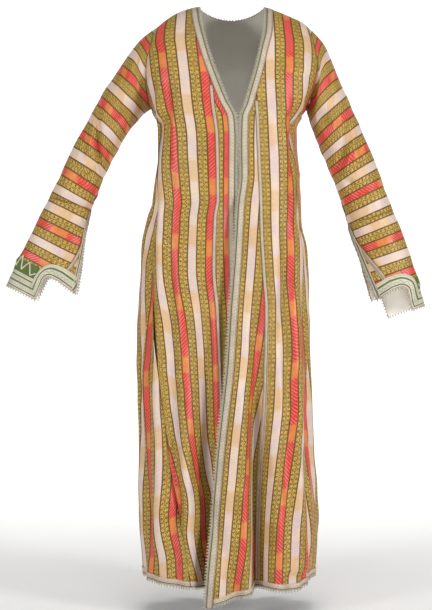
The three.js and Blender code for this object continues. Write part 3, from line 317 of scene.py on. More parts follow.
class Shade:
    """A shader socket that takes part in Python expressions."""

    def __init__(self, socket):
        self.socket = socket

    def node(self, kind, settings, inputs, output=0):
        tree = self.socket.id_data
        made = tree.nodes.new("ShaderNode" + kind)
        for key, value in settings.items():
            setattr(made, key, value)
        for key, value in inputs.items():
            if isinstance(value, Shade):
                tree.links.new(value.socket, made.inputs[key])
            else:
                made.inputs[key].default_value = value
        return Shade(made.outputs[output])

    def maths(self, operation, *values):
        return self.node("Math", {"operation": operation}, dict(enumerate(values)))

    def __add__(self, other): return self.maths("ADD", self, other)
    def __radd__(self, other): return self.maths("ADD", other, self)
    def __sub__(self, other): return self.maths("SUBTRACT", self, other)
    def __rsub__(self, other): return self.maths("SUBTRACT", other, self)
    def __mul__(self, other): return self.maths("MULTIPLY", self, other)
    def __rmul__(self, other): return self.maths("MULTIPLY", other, self)
    def __truediv__(self, other): return self.maths("DIVIDE", self, other)
    def __mod__(self, other): return self.maths("FLOORED_MODULO", self, other)
    def __pow__(self, other): return self.maths("POWER", self, other)
    def __abs__(self): return self.maths("ABSOLUTE", self)
    def sin(self): return self.maths("SINE", self)
    def floor(self): return self.maths("FLOOR", self)
    def sign(self): return self.maths("SIGN", self)
    def most(self, other): return self.maths("MAXIMUM", self, other)

    def under(self, limit, soft):
        """1 where this value is under the limit, 0 past it."""
        return self.node("MapRange", {"interpolation_type": "SMOOTHSTEP"},
                         {0: self, 1: limit - soft, 2: limit + soft, 3: 1.0, 4: 0.0})

    def tint(self, off, on):
        """This value as a mask that turns one colour into another."""
        a, b = [(*c, 1) if isinstance(c, tuple) else c for c in (off, on)]
        return self.node("Mix", {"data_type": "RGBA"}, {0: self, 6: a, 7: b}, 2)

    def dice(self, seed):
        """A chance number for each whole value."""
        return self.node("TexWhiteNoise", {"noise_dimensions": "1D"}, {"W": self + seed})

    def feed(self, shader, name):
        self.socket.id_data.links.new(self.socket, shader.inputs[name])

    def emboss(self, shader, strength, distance):
        """This value as a height in the shader's bump."""
        self.node("Bump", {}, {"Strength": strength, "Distance": distance, "Height": self}).feed(shader, "Normal")


def paint(red, green, blue):
    """A colour as the eye sees it, 0 to 255, turned into the light values that a shader takes."""
    return tuple((c / 255) ** 2.2 for c in (red, green, blue))


def fresh_material(name):
    """A material, its shader node and a way to reach its two cloth measures in millimetres."""
    material = bpy.data.materials.new(name)
    material.use_nodes = True
    nodes = material.node_tree.nodes
    return material, nodes["Principled BSDF"], Shade(nodes.new("ShaderNodeUVMap").outputs[0])


def across_and_along(uv):
    x = uv.node("SeparateXYZ", {}, {0: uv}, 0)
    y = uv.node("SeparateXYZ", {}, {0: uv}, 1)
    return x * 1000.0, y * 1000.0


def noise(uv, size, detail=2.0, stretch=(1, 1, 1), offset=0.0):
    """Soft unevenness about so many millimetres across, from 0 to 1."""
    placed = uv.node("Mapping", {}, {0: uv, 1: (offset, offset, 0), 3: stretch})
    return uv.node("TexNoise", {}, {"Vector": placed, "Scale": 1000.0 / size, "Detail": detail})


def silk_cloth(name, reverse=False):
    material, shader, uv = fresh_material(name)
    u, v = across_and_along(uv)
    from_red = abs((u + STRIPE_REPEAT / 2) % STRIPE_REPEAT - STRIPE_REPEAT / 2)
    from_cream = STRIPE_REPEAT / 2 - from_red
    waver = (noise(uv, 9) - 0.5) * 1.1
    red = (from_red + waver).under(RED_HALF, 0.5)
    cream = (from_cream + waver).under(CREAM_HALF, 0.5)
    beside_red = abs(from_red - RED_HALF - BORDER_HALF).under(BORDER_HALF, 0.6)
    beside_cream = abs(from_cream - CREAM_HALF - BORDER_HALF).under(BORDER_HALF, 0.6)
    border = beside_red.most(beside_cream)

    # The golden vine winds down the middle of each olive stripe, with a flower in each of its bends.
    side = (from_red - VINE_LINE + (noise(uv, 8, 1.0, offset=11.0) - 0.5) * 3.4) * 1.18
    along_vine = v * 1.3 + (noise(uv, 11, 1.0, offset=13.0) - 0.5) * 6.0
    bend = (along_vine * (2 * math.pi / VINE_WAVE)).sin()
    vine = abs(side - bend * VINE_SWING).under(0.8, 0.35)
    turned = side * bend.sign() + 4.6
    step = along_vine % (VINE_WAVE / 2) - VINE_WAVE / 4
    petals = turned.maths("ARCTAN2", turned, step) * 5.0
    away = (turned * turned + step * step) ** 0.5
    flower = (away - petals.sin() * 1.1).under(3.9, 0.4) - abs(away - 1.9).under(0.45, 0.3)
    leaf_side = side * bend.sign() - 7.6
    leaf = (leaf_side * leaf_side * 0.35 + step * step * 0.08).under(1.0, 0.3) - abs(step).under(0.35, 0.3)
    sprig = vine.most(flower).most(leaf)
    sprig = sprig * noise(uv, 2.0, 1.0).under(0.66, 0.12) * (noise(uv, 55, offset=17.0) * 1.2 + 0.42)
    fleck = noise(uv, 1.9, 1.0, offset=3.0).under(0.49, 0.05)

    age = noise(uv, 70, 3.0, offset=7.0)
    olive_ground = age.tint(paint(72, 48, 16), paint(120, 90, 38))
    # The gold thread swings between a dimmer and a brighter gold in patches about 25 mm across. This is painted
    # sheen: the thread is painted as catching the light in some places and not in others.
    gold = noise(uv, 25, offset=5.0).tint(paint(198, 156, 62), paint(236, 206, 106))
    olive = (sprig * 0.95).most(fleck * 0.36).tint(olive_ground, gold)

    number = ((u + STRIPE_REPEAT / 2) / STRIPE_REPEAT).floor()
    shift = number.dice(2.0)
    ragged = (noise(uv, 3, 0.0, (1, 0.2, 1)) - 0.5) * 5.0
    run = (v + shift * RED_RUN + ragged) % RED_RUN
    orange = abs(run - RED_RUN / 2).under(ORANGE_HALF, 4.0)
    slant = (u * 0.72 + v * 0.7) % SLANT_PITCH
    line = slant.under(1.5, 0.5) * noise(uv, 14, offset=2.0).under(0.62, 0.15)
    red_ground = age.tint(paint(178, 36, 32), paint(220, 70, 58))
    red_lined = (line * 0.55).tint(red_ground, paint(236, 150, 138))
    orange_colour = noise(uv, 12, offset=9.0).tint(paint(198, 104, 50), paint(222, 138, 80))
    red_colour = orange.tint(red_lined, orange_colour)

    cream_number = (u / STRIPE_REPEAT).floor()
    cream_run = (v + cream_number.dice(5.0) * CREAM_RUN + ragged) % CREAM_RUN
    peach = abs(cream_run - PEACH_MIDDLE).under(PEACH_HALF, 6.0)
    pinkish = noise(uv, 38, offset=1.0).under(0.5, 0.12).tint(paint(214, 190, 168), paint(206, 184, 178))
    cream_colour = (peach * 0.75).tint(pinkish, paint(206, 166, 118))

    colour = cream.tint(red.tint(olive, red_colour), cream_colour)
    colour = (border * 0.85).tint(colour, paint(90, 44, 16))
    weft = (v * (2 * math.pi / WEFT_PITCH)).sin()
    slub = noise(uv, 2.4, 1.0, (0.14, 1, 1))
    colour = ((slub - 0.35) * 0.35).tint(colour, (0.10, 0.07, 0.03))
    if reverse:
        colour = (noise(uv, 30) * 0.2 + 0.62).tint(colour, paint(92, 74, 64))
    colour.feed(shader, "Base Color")
    if reverse:
        shader.inputs["Roughness"].default_value = 0.86
    else:
        satin = red.most(cream)
        (0.53 - satin * 0.12 + (slub - 0.5) * 0.12).feed(shader, "Roughness")
        shader.inputs["Sheen Weight"].default_value = 0.04
        shader.inputs["Sheen Roughness"].default_value = 0.4
        shader.inputs["Specular IOR Level"].default_value = 0.35
    (weft * 0.10 + slub * 0.5 + sprig * 0.7 + line * 0.3).emboss(shader, 0.55, 0.0004)
    return material


def cotton_lining():
    """Undyed cotton inside the sleeves and the upper part of the body."""
    material, shader, uv = fresh_material("cotton_lining")
    u, v = across_and_along(uv)
    weave = (u * (2 * math.pi / 0.9)).sin() * (v * (2 * math.pi / 0.9)).sin()
    noise(uv, 40, 3.0).tint(paint(232, 226, 214), paint(244, 240, 230)).feed(shader, "Base Color")
    shader.inputs["Roughness"].default_value = 0.9
    weave.emboss(shader, 0.4, 0.0003)
    return material


lining = cotton_lining()
silk = silk_cloth("striped_silk")
silk_reverse = silk_cloth("silk_reverse", reverse=True)


CLOTH_THICK = 1.1


def read(items, what, width=3, kind=float):
    """One property of all of a mesh's items."""
    values = np.empty(len(items) * width, kind)
    items.foreach_get(what, values)
    return values.reshape(-1, width)


def lay_cloth(name, points, measures, outward, materials, thick=CLOTH_THICK, lined_above=None):
    """One piece of cloth from rows of points in millimetres, with its measures across and along the stripes."""
    rows, columns = points.shape[:2]
    sheet = bmesh.new()
    bmesh.ops.create_grid(sheet, x_segments=columns - 1, y_segments=rows - 1, size=0.5)
    mesh = bpy.data.meshes.new(name)
    sheet.to_mesh(mesh)
    sheet.free()
    flat = read(mesh.vertices, "co")
    column = np.rint((flat[:, 0] + 0.5) * (columns - 1)).astype(int)
    row = np.rint((flat[:, 1] + 0.5) * (rows - 1)).astype(int)
    mesh.vertices.foreach_set("co", (points[row, column] / 1000).ravel())
    mesh.uv_layers.new(name="cloth")
    corner = read(mesh.loops, "vertex_index", 1, int)[:, 0]
    mesh.uv_layers["cloth"].data.foreach_set("uv", (measures[row, column][corner] / 1000).ravel())
    mesh.update()
    if np.sum(read(mesh.vertices, "normal") * outward[row, column]) < 0:
        mesh.flip_normals()
    mesh.shade_smooth()
    for material in materials:
        mesh.materials.append(material)
    if lined_above is not None:
        upper = read(mesh.polygons, "center")[:, 2] * 1000 > lined_above
        mesh.polygons.foreach_set("material_index", upper.astype(int))
    piece = bpy.data.objects.new(name, mesh)
    bpy.context.scene.collection.objects.link(piece)
    if thick:
        wall = piece.modifiers.new("thickness", "SOLIDIFY")
        wall.thickness, wall.offset = thick / 1000, -1
        wall.use_rim = True
        wall.material_offset = 1 if lined_above is None and len(materials) > 1 else 2 * (lined_above is not None)
        wall.material_offset_rim = 0
    return piece


# ---- Back, fronts, gores and wedges --------------------------------------------------------------------------------
# The robe's body is cut straight from the silk: a back, two fronts with the V of the neck, a gore on each opening
# edge and a wedge down each side from the armpit. The stripes run down each piece, parallel to its straight side.
YOKE = np.linspace(0, 1, 33)
SKIRT = np.linspace(0, 1, 176)[1:]
NECK_POINT = {"right": -78, "left": 67}
NECK_MIDDLE = (NECK_POINT["right"] + NECK_POINT["left"]) / 2
NECK_HALF = (NECK_POINT["left"] - NECK_POINT["right"]) / 2
BACK_NECK_DIP = 19
SHOULDER_TIP = {"right": -165, "left": 158}
SHOULDER_WIDTH = SHOULDER_TIP["left"] - SHOULDER_TIP["right"]
BACK_WAY = [HEM_WAY[side]["back"] for side in SIDES]
LINED_ABOVE = -420


def lengths(points):
    """How far along each column every row lies, and how far across each row every column lies."""
    across = np.linalg.norm(np.diff(points, axis=1), axis=2)
    down = np.linalg.norm(np.diff(points, axis=0), axis=2)
    across = np.concatenate([np.zeros((points.shape[0], 1)), np.cumsum(across, 1)], 1)
    down = np.concatenate([np.zeros((1, points.shape[1])), np.cumsum(down, 0)], 0)
    return across, down


def pairs(across, along):
    """The two measures of every point."""
    return np.stack(np.broadcast_arrays(across, along), -1)


trims = {}


def belongs(node, slot, *pieces, sewn_to=()):
    """Pieces that stand for a node of the part, and the cloths that they are sewn to."""
    for cloth in sewn_to:
        trims.setdefault(cloth, []).extend(pieces)
    for piece in pieces:
        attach(piece, "root")
        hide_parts(node)


def from_middle(points):
    """Away from the robe's upright middle: the side of the cloth that is its outside."""
    centre = section(points[..., 2])[0]
    return points - np.stack([centre, 0 * centre, points[..., 2]], -1)


def hem_at(ways, share):
    """The hem's height at shares of the way between two places on it."""
    return follow(HEM, ways[0] + (ways[1] - ways[0]) * share)


def hem_ways(side, first, last):
    return HEM_WAY[side][first], HEM_WAY[side][last]


def heights(tops, hems):
    """Rows from each column's top to the armpit's level, then to its hem."""
    eased = ((1 - np.cos(math.pi * YOKE)) / 2)[:, None]
    yoke = tops + (ARMPIT - tops) * eased
    skirt = ARMPIT + (hems - ARMPIT) * SKIRT[:, None]
    return np.concatenate([yoke, skirt], 0)


def back_points(share, z):
    right = outer_line("right", "back", BACK_SEAM["right"], z)
    left = outer_line("left", "back", BACK_SEAM["left"], z)
    return hang(angle_on_face("back", right + (left - right) * share, z), z, "both")


def front_line(side, z):
    """A front's inner line: the neck's edge, then the gore's seam."""
    return np.where(z > GORE_SEAM[side][0][0], follow(EDGE[side], z), follow(GORE_SEAM[side], z))


def front_points(side, share, z):
    inner = front_line(side, z)
    outer = outer_line(side, "front", WEDGE_SEAM[side], z)
    return hang(angle_on_face("front", inner + (outer - inner) * share, z), z, LAYER[side])


def front_tops(side, share):
    tops = 0 * share
    for _ in range(3):
        inner = front_line(side, tops)
        tops = shoulder_z(inner + (outer_line(side, "front", WEDGE_SEAM[side], tops) - inner) * share)
    return tops


def gore_points(side, share, z):
    seam, edge = follow(GORE_SEAM[side], z), follow(EDGE[side], z)
    return hang(angle_on_face("front", seam + (edge - seam) * share, z), z, LAYER[side])


def wedge_points(side, share, z):
    front = angle_at("front", follow(WEDGE_SEAM[side], z), z)
    back = angle_at("back", follow(BACK_SEAM[side], z), z)
    if side == "right":
        front = front + 2 * math.pi
    return hang(front + (back - front) * share, z, LAYER[side])


def middle_stripes(points, offset):
    """Measures of a piece whose stripes run down it: across from its middle column, down from the armpit's level."""
    across, down = lengths(points)
    middle = points.shape[1] // 2
    level = np.argmin(np.abs(points[:, middle, 2] - ARMPIT))
    return pairs(across - across[:, middle][:, None] + offset, down[level] - down)


def panel(node, points, measures):
    sides = [silk, silk, silk_reverse, lining]
    cloth = lay_cloth(f"{node}_cloth", points, measures, from_middle(points), sides, lined_above=LINED_ABOVE)
    belongs(node, "silk", cloth)


# The back has a column of points at each neck point.
marks = [0] + [(NECK_POINT[side] - SHOULDER_TIP["right"]) / SHOULDER_WIDTH for side in SIDES] + [1]
parts = [np.linspace(a, b, max(2, round((b - a) * 96)))[:-1] for a, b in zip(marks, marks[1:])]
share = np.concatenate([*parts, [1.0]])
top_x = SHOULDER_TIP["right"] + SHOULDER_WIDTH * share
in_neck = (top_x - NECK_MIDDLE) / NECK_HALF
tops = np.where(np.abs(in_neck) < 1, -BACK_NECK_DIP * (1 - in_neck * in_neck), shoulder_z(top_x))
points = back_points(share[None, :], heights(tops, hem_at(BACK_WAY, share)))
panel("back", points, middle_stripes(points, STRIPE_REPEAT / 2))

# How far a red stripe's middle lies from each front's gore seam.
FRONT_RED = {"right": 9.5, "left": 67.5}
# Worn cloth is eased over the chest, where the stripes lie further apart than they do lower down.
STRIPE_EASE = {"right": [(10, 0.86), (-190, 0.86), (-320, 0.87), (-500, 1), (-1300, 1)],
               "left": [(10, 0.92), (-190, 0.92), (-320, 0.90), (-500, 1), (-1300, 1)]}
# Towards the hem the right front's stripes drift in, because its outer side is cut on a slant.
STRIPE_DRIFT = {"right": [(10, 0), (-900, 0), (-1023, 10), (-1164, 36), (-1300, 64)],
                "left": [(10, 0), (-850, 0), (-1030, -8), (-1160, -3), (-1300, 2)]}
share = np.linspace(0, 1, 36)
for side in SIDES:
    z = heights(front_tops(side, share), hem_at(hem_ways(side, "gore", "outer"), share))
    points = front_points(side, share[None, :], z)
    # Above the gore the inner line is the neck's slanting edge, and the stripes still run straight down.
    across, down = lengths(points)
    seam_x = follow(GORE_SEAM[side], np.minimum(z, GORE_SEAM[side][0][0]))
    straight = across + OUTWARD[side] * np.where(z > GORE_SEAM[side][0][0], front_line(side, z) - seam_x, 0)
    u = straight * follow(STRIPE_EASE[side], z) + follow(STRIPE_DRIFT[side], z)
    panel(f"front_{side}", points, pairs(u - FRONT_RED[side], down[len(YOKE) - 1] - down))

# How far a red stripe's middle lies from each gore's opening edge.
GORE_RED = {"right": 20.0, "left": 78.0}
share = np.linspace(0, 1, 22)
for side in SIDES:
    top = GORE_SEAM[side][0][0] - 2
    z = top + (hem_at(hem_ways(side, "gore", "edge"), share) - top) * np.linspace(0, 1, 200)[:, None]
    points = gore_points(side, share[None, :], z)
    across, down = lengths(points)
    panel(f"front_gore_{side}", points, pairs(across[:, -1:] - across - GORE_RED[side], -down))

# How far a wedge's middle lies from a red stripe's middle.
WEDGE_OFFSET = 34
share = np.linspace(0, 1, 30)
for side in SIDES:
    hems = hem_at(hem_ways(side, "outer", "back"), share)
    z = ARMPIT - 0.4 + (hems - ARMPIT) * np.linspace(0, 1, 180)[:, None]
    points = wedge_points(side, share[None, :], z)
    panel(f"side_wedge_{side}", points, middle_stripes(points, WEDGE_OFFSET))

# ---- Trims of the opening, the neck and the hem -------------------------------------------------------------------
# A woven braid of grey-gold metal thread edges the neck, both fronts and the hem, with a row of small thread loops
# along its outer side. A narrower cream braid in zigzag covers each gore seam.
EDGE_BRAID_WIDTH, HEM_BRAID_WIDTH, SEAM_BRAID_WIDTH = 18, 14, 6
# A loop's pitch and reach, its thread's radius, how far it bulges and twists, and how far its root is sewn in.
PICOT_PITCH, PICOT_REACH, PICOT_THREAD = 6.6, 4.4, 0.9
PICOT_BULGE, PICOT_TWIST, PICOT_ROOT = 0.30, 0.35, 0.6
BRAID_THICK = 0.9
ZIGZAG_PITCH, ZIGZAG_HALF = 7.5, 0.8


def darker(colour, share):
    return tuple(c * share for c in colour)


def braid_work(name, ground, lines, rib=1.7, shine=0.1, zigzag=None):
    """A woven braid. Lines lie so far from its outer side, each with its half width and colour, as does a zigzag."""
    material, shader, uv = fresh_material(name)
    u, v = across_and_along(uv)
    thread = (v * (2 * math.pi / rib) + u * 1.9).sin() * 0.5 + 0.5
    colour = noise(uv, 21).under(0.5, 0.15).tint(ground, darker(ground, 0.82))
    for middle, half, line in lines:
        colour = abs(u - middle).under(half, 0.3).tint(colour, line)
    if zigzag:
        middle, swing = zigzag
        sway = abs(v % ZIGZAG_PITCH - ZIGZAG_PITCH / 2) * (swing / 1.9) - swing
        colour = (abs(u - middle - sway).under(ZIGZAG_HALF, 0.4) * 0.7).tint(colour, darker(ground, 0.3))
    (thread * 0.34).tint(colour, darker(ground, 0.42)).feed(shader, "Base Color")
    (0.62 - thread * 0.16).feed(shader, "Roughness")
    shader.inputs["Metallic"].default_value = shine
    thread.emboss(shader, 0.6, 0.0005)
    return material


GREY_GOLD, CREAM_THREAD, DARK_THREAD = paint(216, 200, 178), paint(230, 220, 200), paint(70, 64, 40)
edge_work = braid_work("edge_braid", GREY_GOLD, [
    (1.6, 2.3, paint(148, 144, 116)), (4.8, 1.2, DARK_THREAD), (7.6, 0.4, paint(144, 132, 104)),
    (15.4, 0.6, paint(122, 112, 80)), (17.5, 0.8, paint(112, 76, 46)),
], zigzag=(11.5, 2.2))
hem_work = braid_work("hem_braid", GREY_GOLD, [
    (0.8, 1.4, paint(150, 140, 126)), (4.0, 1.1, DARK_THREAD), (12.6, 1.2, paint(206, 174, 152)),
], zigzag=(8.2, 1.8))
SEAM_THREAD = paint(108, 80, 52)
seam_work = braid_work("seam_braid", paint(190, 172, 148), [(0.3, 0.6, SEAM_THREAD), (7.3, 0.6, SEAM_THREAD)])
picot_work = braid_work("picot_thread", paint(198, 190, 170), [])
cord_work = braid_work("cream_cord", CREAM_THREAD, [])


def unit(vectors):
    return vectors / np.maximum(np.linalg.norm(vectors, axis=-1, keepdims=True), 1e-9)


def facing_of(points, outward):
    """The way each point of a grid faces."""
    normal = unit(np.cross(np.gradient(points, axis=1), np.gradient(points, axis=0)))
    return normal * np.sign(np.sum(normal * outward))


def lay_braid(name, points, outward, lift, material, relief=None, measures=None, normal=None):
    """A braid over the cloth. Its rows run along it, its columns from its outer side in, and relief raises them."""
    if normal is None:
        normal = facing_of(points, outward)
    if measures is None:
        across, down = lengths(points)
        measures = pairs(across, down[:, :1])
    raised = lift if relief is None else lift + np.interp(measures[..., 0], *zip(*relief))
    top = points + normal * (np.zeros(points.shape[:2]) + raised + BRAID_THICK)[..., None]
    return lay_cloth(name, top, measures, outward, [material], thick=BRAID_THICK)


# How high each braid's surface stands, by the way in from its outer side.
EDGE_RELIEF = [(0, 0), (2.5, 0.35), (4.0, -0.15), (5.0, 0.35), (9.0, 0.55), (9.4, 0.2), (9.8, 0.55), (15, 0.35),
               (15.7, -0.1), (16.4, 0.3), (18, 0)]
HEM_RELIEF = [(0, 0), (2, 0.3), (4, 0), (5, 0.4), (12, 0.4), (14, 0)]
SEAM_RELIEF = [(0, 0), (1, 0.3), (6.5, 0.3), (7.6, 0)]


def run_of(points):
    """How far along a line of points each of them lies."""
    return np.concatenate([[0], np.cumsum(np.linalg.norm(np.diff(points, axis=0), axis=1))])


def placed_at(at, length, *lines):
    """What each line of points or vectors is at so many millimetres along."""
    return [np.stack([np.interp(at, length, line[:, k]) for k in range(line.shape[1])], -1) for line in lines]


def spaced(points, *others, step):
    """A line of points at even steps along it, with the vectors that go with them."""
    length = run_of(points)
    at = np.linspace(0, length[-1], max(2, round(length[-1] / step) + 1))
    return placed_at(at, length, points, *others)


def lay_cord(name, path, upward, radius, material, sides):
    """A round thread along a line of points."""
    along = unit(np.gradient(path, axis=0))
    aside = unit(np.cross(along, upward))
    above = np.cross(aside, along)
    turn = np.linspace(0, 2 * math.pi, sides + 1)[None, :, None]
    ring = path[:, None] + radius * (np.cos(turn) * above[:, None] + np.sin(turn) * aside[:, None])
    around, down = lengths(ring)
    piece = lay_cloth(name, ring, pairs(around, down[:, :1]), ring - path[:, None], [material], thick=0)
    close_round(piece.data)
    return piece


def close_round(mesh):
    """Joins the first and the last column of a tube."""
    whole = bmesh.new()
    whole.from_mesh(mesh)
    bmesh.ops.remove_doubles(whole, verts=whole.verts, dist=1e-6)
    whole.to_mesh(mesh)
    whole.free()
    mesh.shade_smooth()


def lay_picots(name, edge, outward, upward, lift):
    """A row of thread loops along an edge."""
    points, out, up = spaced(edge, outward, upward, step=0.5)
    length = run_of(points)
    loops = max(1, round(length[-1] / PICOT_PITCH))
    t = np.linspace(0, loops, loops * 12 + 1)
    at = length[-1] / loops * t + PICOT_BULGE * PICOT_PITCH * np.sin(2 * math.pi * t)
    reach_out = PICOT_REACH / 2 * (1 - np.cos(2 * math.pi * t)) - PICOT_ROOT
    place, out, up = placed_at(at, length, points, out, up)
    height = lift + PICOT_TWIST * np.cos(math.pi * t)
    path = place + out * reach_out[:, None] + up * height[:, None]
    return lay_cord(name, path, up, PICOT_THREAD, picot_work, sides=6)


def braid_with_loops(strip_name, loops_name, points, measures, lift, material, relief, loop_lift):
    """A braid on the robe's body, with thread loops along its outer side."""
    away = from_middle(points)
    strip = lay_braid(strip_name, points, away, lift, material, relief, measures)
    up = facing_of(points, away)
    out = unit(points[:, 0] - points[:, 2])
    return strip, lay_picots(loops_name, points[:, 0], out, up[:, 0], loop_lift)


edge_columns = np.linspace(0, EDGE_BRAID_WIDTH, 25)
for side in SIDES:
    tops = shoulder_z(follow(EDGE[side], 0) + OUTWARD[side] * edge_columns)
    hem = follow(HEM, HEM_WAY[side]["edge"])
    z = tops + (hem - tops) * np.linspace(0, 1, 330)[:, None]
    x = follow(EDGE[side], z) + OUTWARD[side] * edge_columns
    points = hang(angle_on_face("front", x, z), z, LAYER[side])
    work = braid_with_loops(f"edge_braid_{side}_work", f"edge_picots_{side}", points,
                            pairs(edge_columns, lengths(points)[1]), 0.35, edge_work, EDGE_RELIEF, 0.8)
    belongs(f"edge_braid_{side}", "braid", *work, sewn_to=[f"front_gore_{side}_cloth"])

# The back's neck braid: each of its rows lies at an even distance, along the cloth, from the neck's edge.
neck_x = NECK_MIDDLE - NECK_HALF * np.cos(np.linspace(0, math.pi, 90))
neck_top = -BACK_NECK_DIP * (1 - ((neck_x - NECK_MIDDLE) / NECK_HALF) ** 2)
down_neck = np.linspace(0, 40, 161)
dense_z = neck_top - down_neck[:, None]
dense = hang(angle_on_face("back", neck_x + 0 * dense_z, dense_z), dense_z, "both")
fallen = np.linalg.norm(dense - dense[0], axis=-1)
wanted = np.linspace(0, EDGE_BRAID_WIDTH, 19)
z = np.stack([neck_top[i] - np.interp(wanted, fallen[:, i], down_neck) for i in range(len(neck_x))])
points = hang(angle_on_face("back", neck_x[:, None] + 0 * z, z), z, "both")
work = braid_with_loops("neck_braid_work", "neck_picots", points,
                        pairs(wanted, lengths(points)[1][:, :1]), 0.6, edge_work, EDGE_RELIEF, 0.9)
belongs("neck_braid_back", "braid", *work, sewn_to=["back_cloth"])


HEM_LEVEL, HEM_TO_ARMPIT = -1260, 1034


def hem_strip(node, shares, at, ways):
    """A panel's own length of hem braid, laid on the panel's own surface."""
    rows = np.linspace(0, HEM_BRAID_WIDTH, 15)
    hems = hem_at(ways, shares)[:, None]
    points = at(shares[:, None], hems + rows * ((ARMPIT - hems) / HEM_TO_ARMPIT))
    work = braid_with_loops(f"hem_braid_{node}_work", f"hem_picots_{node}", points,
                            pairs(rows, lengths(points)[1][:, :1]), 0.35, hem_work, HEM_RELIEF, 0.8)
    belongs(f"hem_braid_{node}", "braid", *work, sewn_to=[f"{node}_cloth"])


hem_strip("back", np.linspace(0, 1, 130), back_points, BACK_WAY)
for side in SIDES:
    gore_width = abs(follow(EDGE[side], HEM_LEVEL) - follow(GORE_SEAM[side], HEM_LEVEL))
    clear = 1 - (EDGE_BRAID_WIDTH + 0.4) / gore_width
    for node, columns, end, at, first, last in [
        ("front", 60, 1, front_points, "gore", "outer"), ("side_wedge", 60, 1, wedge_points, "outer", "back"),
        ("front_gore", 40, clear, gore_points, "gore", "edge"),
    ]:
        hem_strip(f"{node}_{side}", np.linspace(0, end, columns), functools.partial(at, side),
                  hem_ways(side, first, last))

# Each gore's seam braid starts where the gore is wide enough for it, and a cream cord is sewn on it in a zigzag.
SEAM_COLUMNS = np.linspace(-3.8, 3.8, 9)
SEAM_CORD_WAVE, SEAM_CORD_SWING, SEAM_CORD_LIFT, SEAM_CORD_RADIUS = 5.0, 2.2, 1.9, 0.75
for side in SIDES:
    gore = GORE_SEAM[side]
    tops = np.linspace(gore[0][0], -400, 300)
    wide = np.abs(follow(EDGE[side], tops) - follow(gore, tops)) > EDGE_BRAID_WIDTH + SEAM_BRAID_WIDTH / 2 + 1
    foot = follow(HEM, HEM_WAY[side]["gore"]) + HEM_BRAID_WIDTH + 2
    z = np.linspace(tops[np.argmax(wide)], foot, 500)[:, None]
    x = follow(gore, z) + SEAM_COLUMNS
    points = hang(angle_on_face("front", x, z + 0 * x), z + 0 * x, LAYER[side])
    away = from_middle(points)
    strip = lay_braid(f"gore_seam_braid_{side}_work", points, away, 0.35, seam_work, SEAM_RELIEF)
    middle, up = spaced(points[:, 4], facing_of(points, away)[:, 4], step=1.0)
    aside = unit(np.cross(np.gradient(middle, axis=0), up))
    sway = 2 / math.pi * np.arcsin(np.sin(np.arange(len(middle)) * (2 * math.pi / SEAM_CORD_WAVE)))
    path = middle + aside * (SEAM_CORD_SWING * sway)[:, None] + up * SEAM_CORD_LIFT
    cord = lay_cord(f"gore_seam_cord_{side}", path, up, SEAM_CORD_RADIUS, cord_work, sides=6)
    belongs(f"gore_seam_braid_{side}", "braid", strip, cord, sewn_to=[f"front_{side}_cloth"])


def plain_material(name, colour, roughness):
    material = bpy.data.materials.new(name)
    material.use_nodes = True
    shader = material.node_tree.nodes["Principled BSDF"]
    shader.inputs["Base Color"].default_value = (*colour, 1)
    shader.inputs["Roughness"].default_value = roughness
    return material


# A dark strip lines the inside of the back's hem.
FACING_HEIGHT, FACING_BEHIND, FACING_THICK = 40, 1.6, 0.8
dark = plain_material("dark_facing", (0.008, 0.009, 0.018), 0.8)
share = np.linspace(0, 1, 130)
points = back_points(share[:, None], hem_at(BACK_WAY, share)[:, None] + np.linspace(0, FACING_HEIGHT, 10))
away = from_middle(points)
points = points - facing_of(points, away) * FACING_BEHIND
facing = lay_cloth("hem_facing_cloth", points, pairs(*lengths(points)), away, [dark], thick=FACING_THICK)
belongs("hem_facing_back", "facing", facing)

# ---- Sleeves -------------------------------------------------------------------------------------------------------
# Each sleeve is set into the armhole, with its stripes running round the arm. Below the elbow a slit lower piece is
# sewn on, with a narrow gore in front of the slit, and ends in a long tongue between two scooped notches.
SLEEVE = {  # way along; the outer line's x and height, the inner line's; how deep it is in front and behind
    "right": [
        (0, -165, -42, -184.2, -222, 66, 66), (34, -194, -62, -199, -233, 66, 66),
        (66, -218, -87, -211, -246, 65, 65), (122, -255, -137, -233, -274, 60, 60),
        (178, -288, -189, -255, -312, 56, 56), (232, -318, -241, -275, -350, 52, 52),
        (290, -349, -298, -289, -380, 48, 48), (348, -379, -361, -301, -411, 45, 45),
        (402, -405, -415, -314, -442, 43, 43), (448, -428, -459, -325, -486, 38, 38),
        (496, -450, -504, -332, -541, 33, 33), (560, -477, -559, -344, -626, 27, 27),
        (628, -505, -620, -366, -692, 24, 24),
    ],
    "left": [
        (0, 158, -42, 158.8, -222, 66, 66), (34, 182, -64, 163, -238, 66, 66), (66, 201, -90, 168, -255, 65, 65),
        (122, 227, -148, 178, -284, 60, 60), (178, 252, -209, 190, -314, 57, 57), (232, 279, -266, 206, -351, 54, 54),
        (290, 304, -327, 222, -390, 52, 52), (348, 327, -387, 238, -434, 50, 50), (402, 348, -444, 250, -476, 45, 52),
        (448, 367, -488, 263, -516, 42, 57), (496, 385, -537, 281, -566, 38, 63), (560, 404, -602, 305, -640, 33, 70),
        (628, 421, -664, 331, -700, 31, 73),
    ],
}
# Along the sleeve: where the lower piece is sewn on, where the cuff is, and over how much it eases to the armhole.
SLEEVE_JOIN, CUFF_AT, ARMHOLE_EASE = 405, 560, 80
# Sewn pieces lie apart by twice the half gap across the forearm, and by the seam gap along the sleeve's gore.
HALF_GAP, SEAM_GAP = 0.2, 0.3
SLEEVE_START = SLEEVE_JOIN + HALF_GAP
# At the cuff the slit takes up this much of a turn on each side, in radians, and stands open this wide.
SLIT_SPREAD, SLIT_OPEN = 0.55, 8
# How far in front of the tongue's middle the sleeve's outer line lies.
OUTER_LINE = {"right": 0, "left": 62}
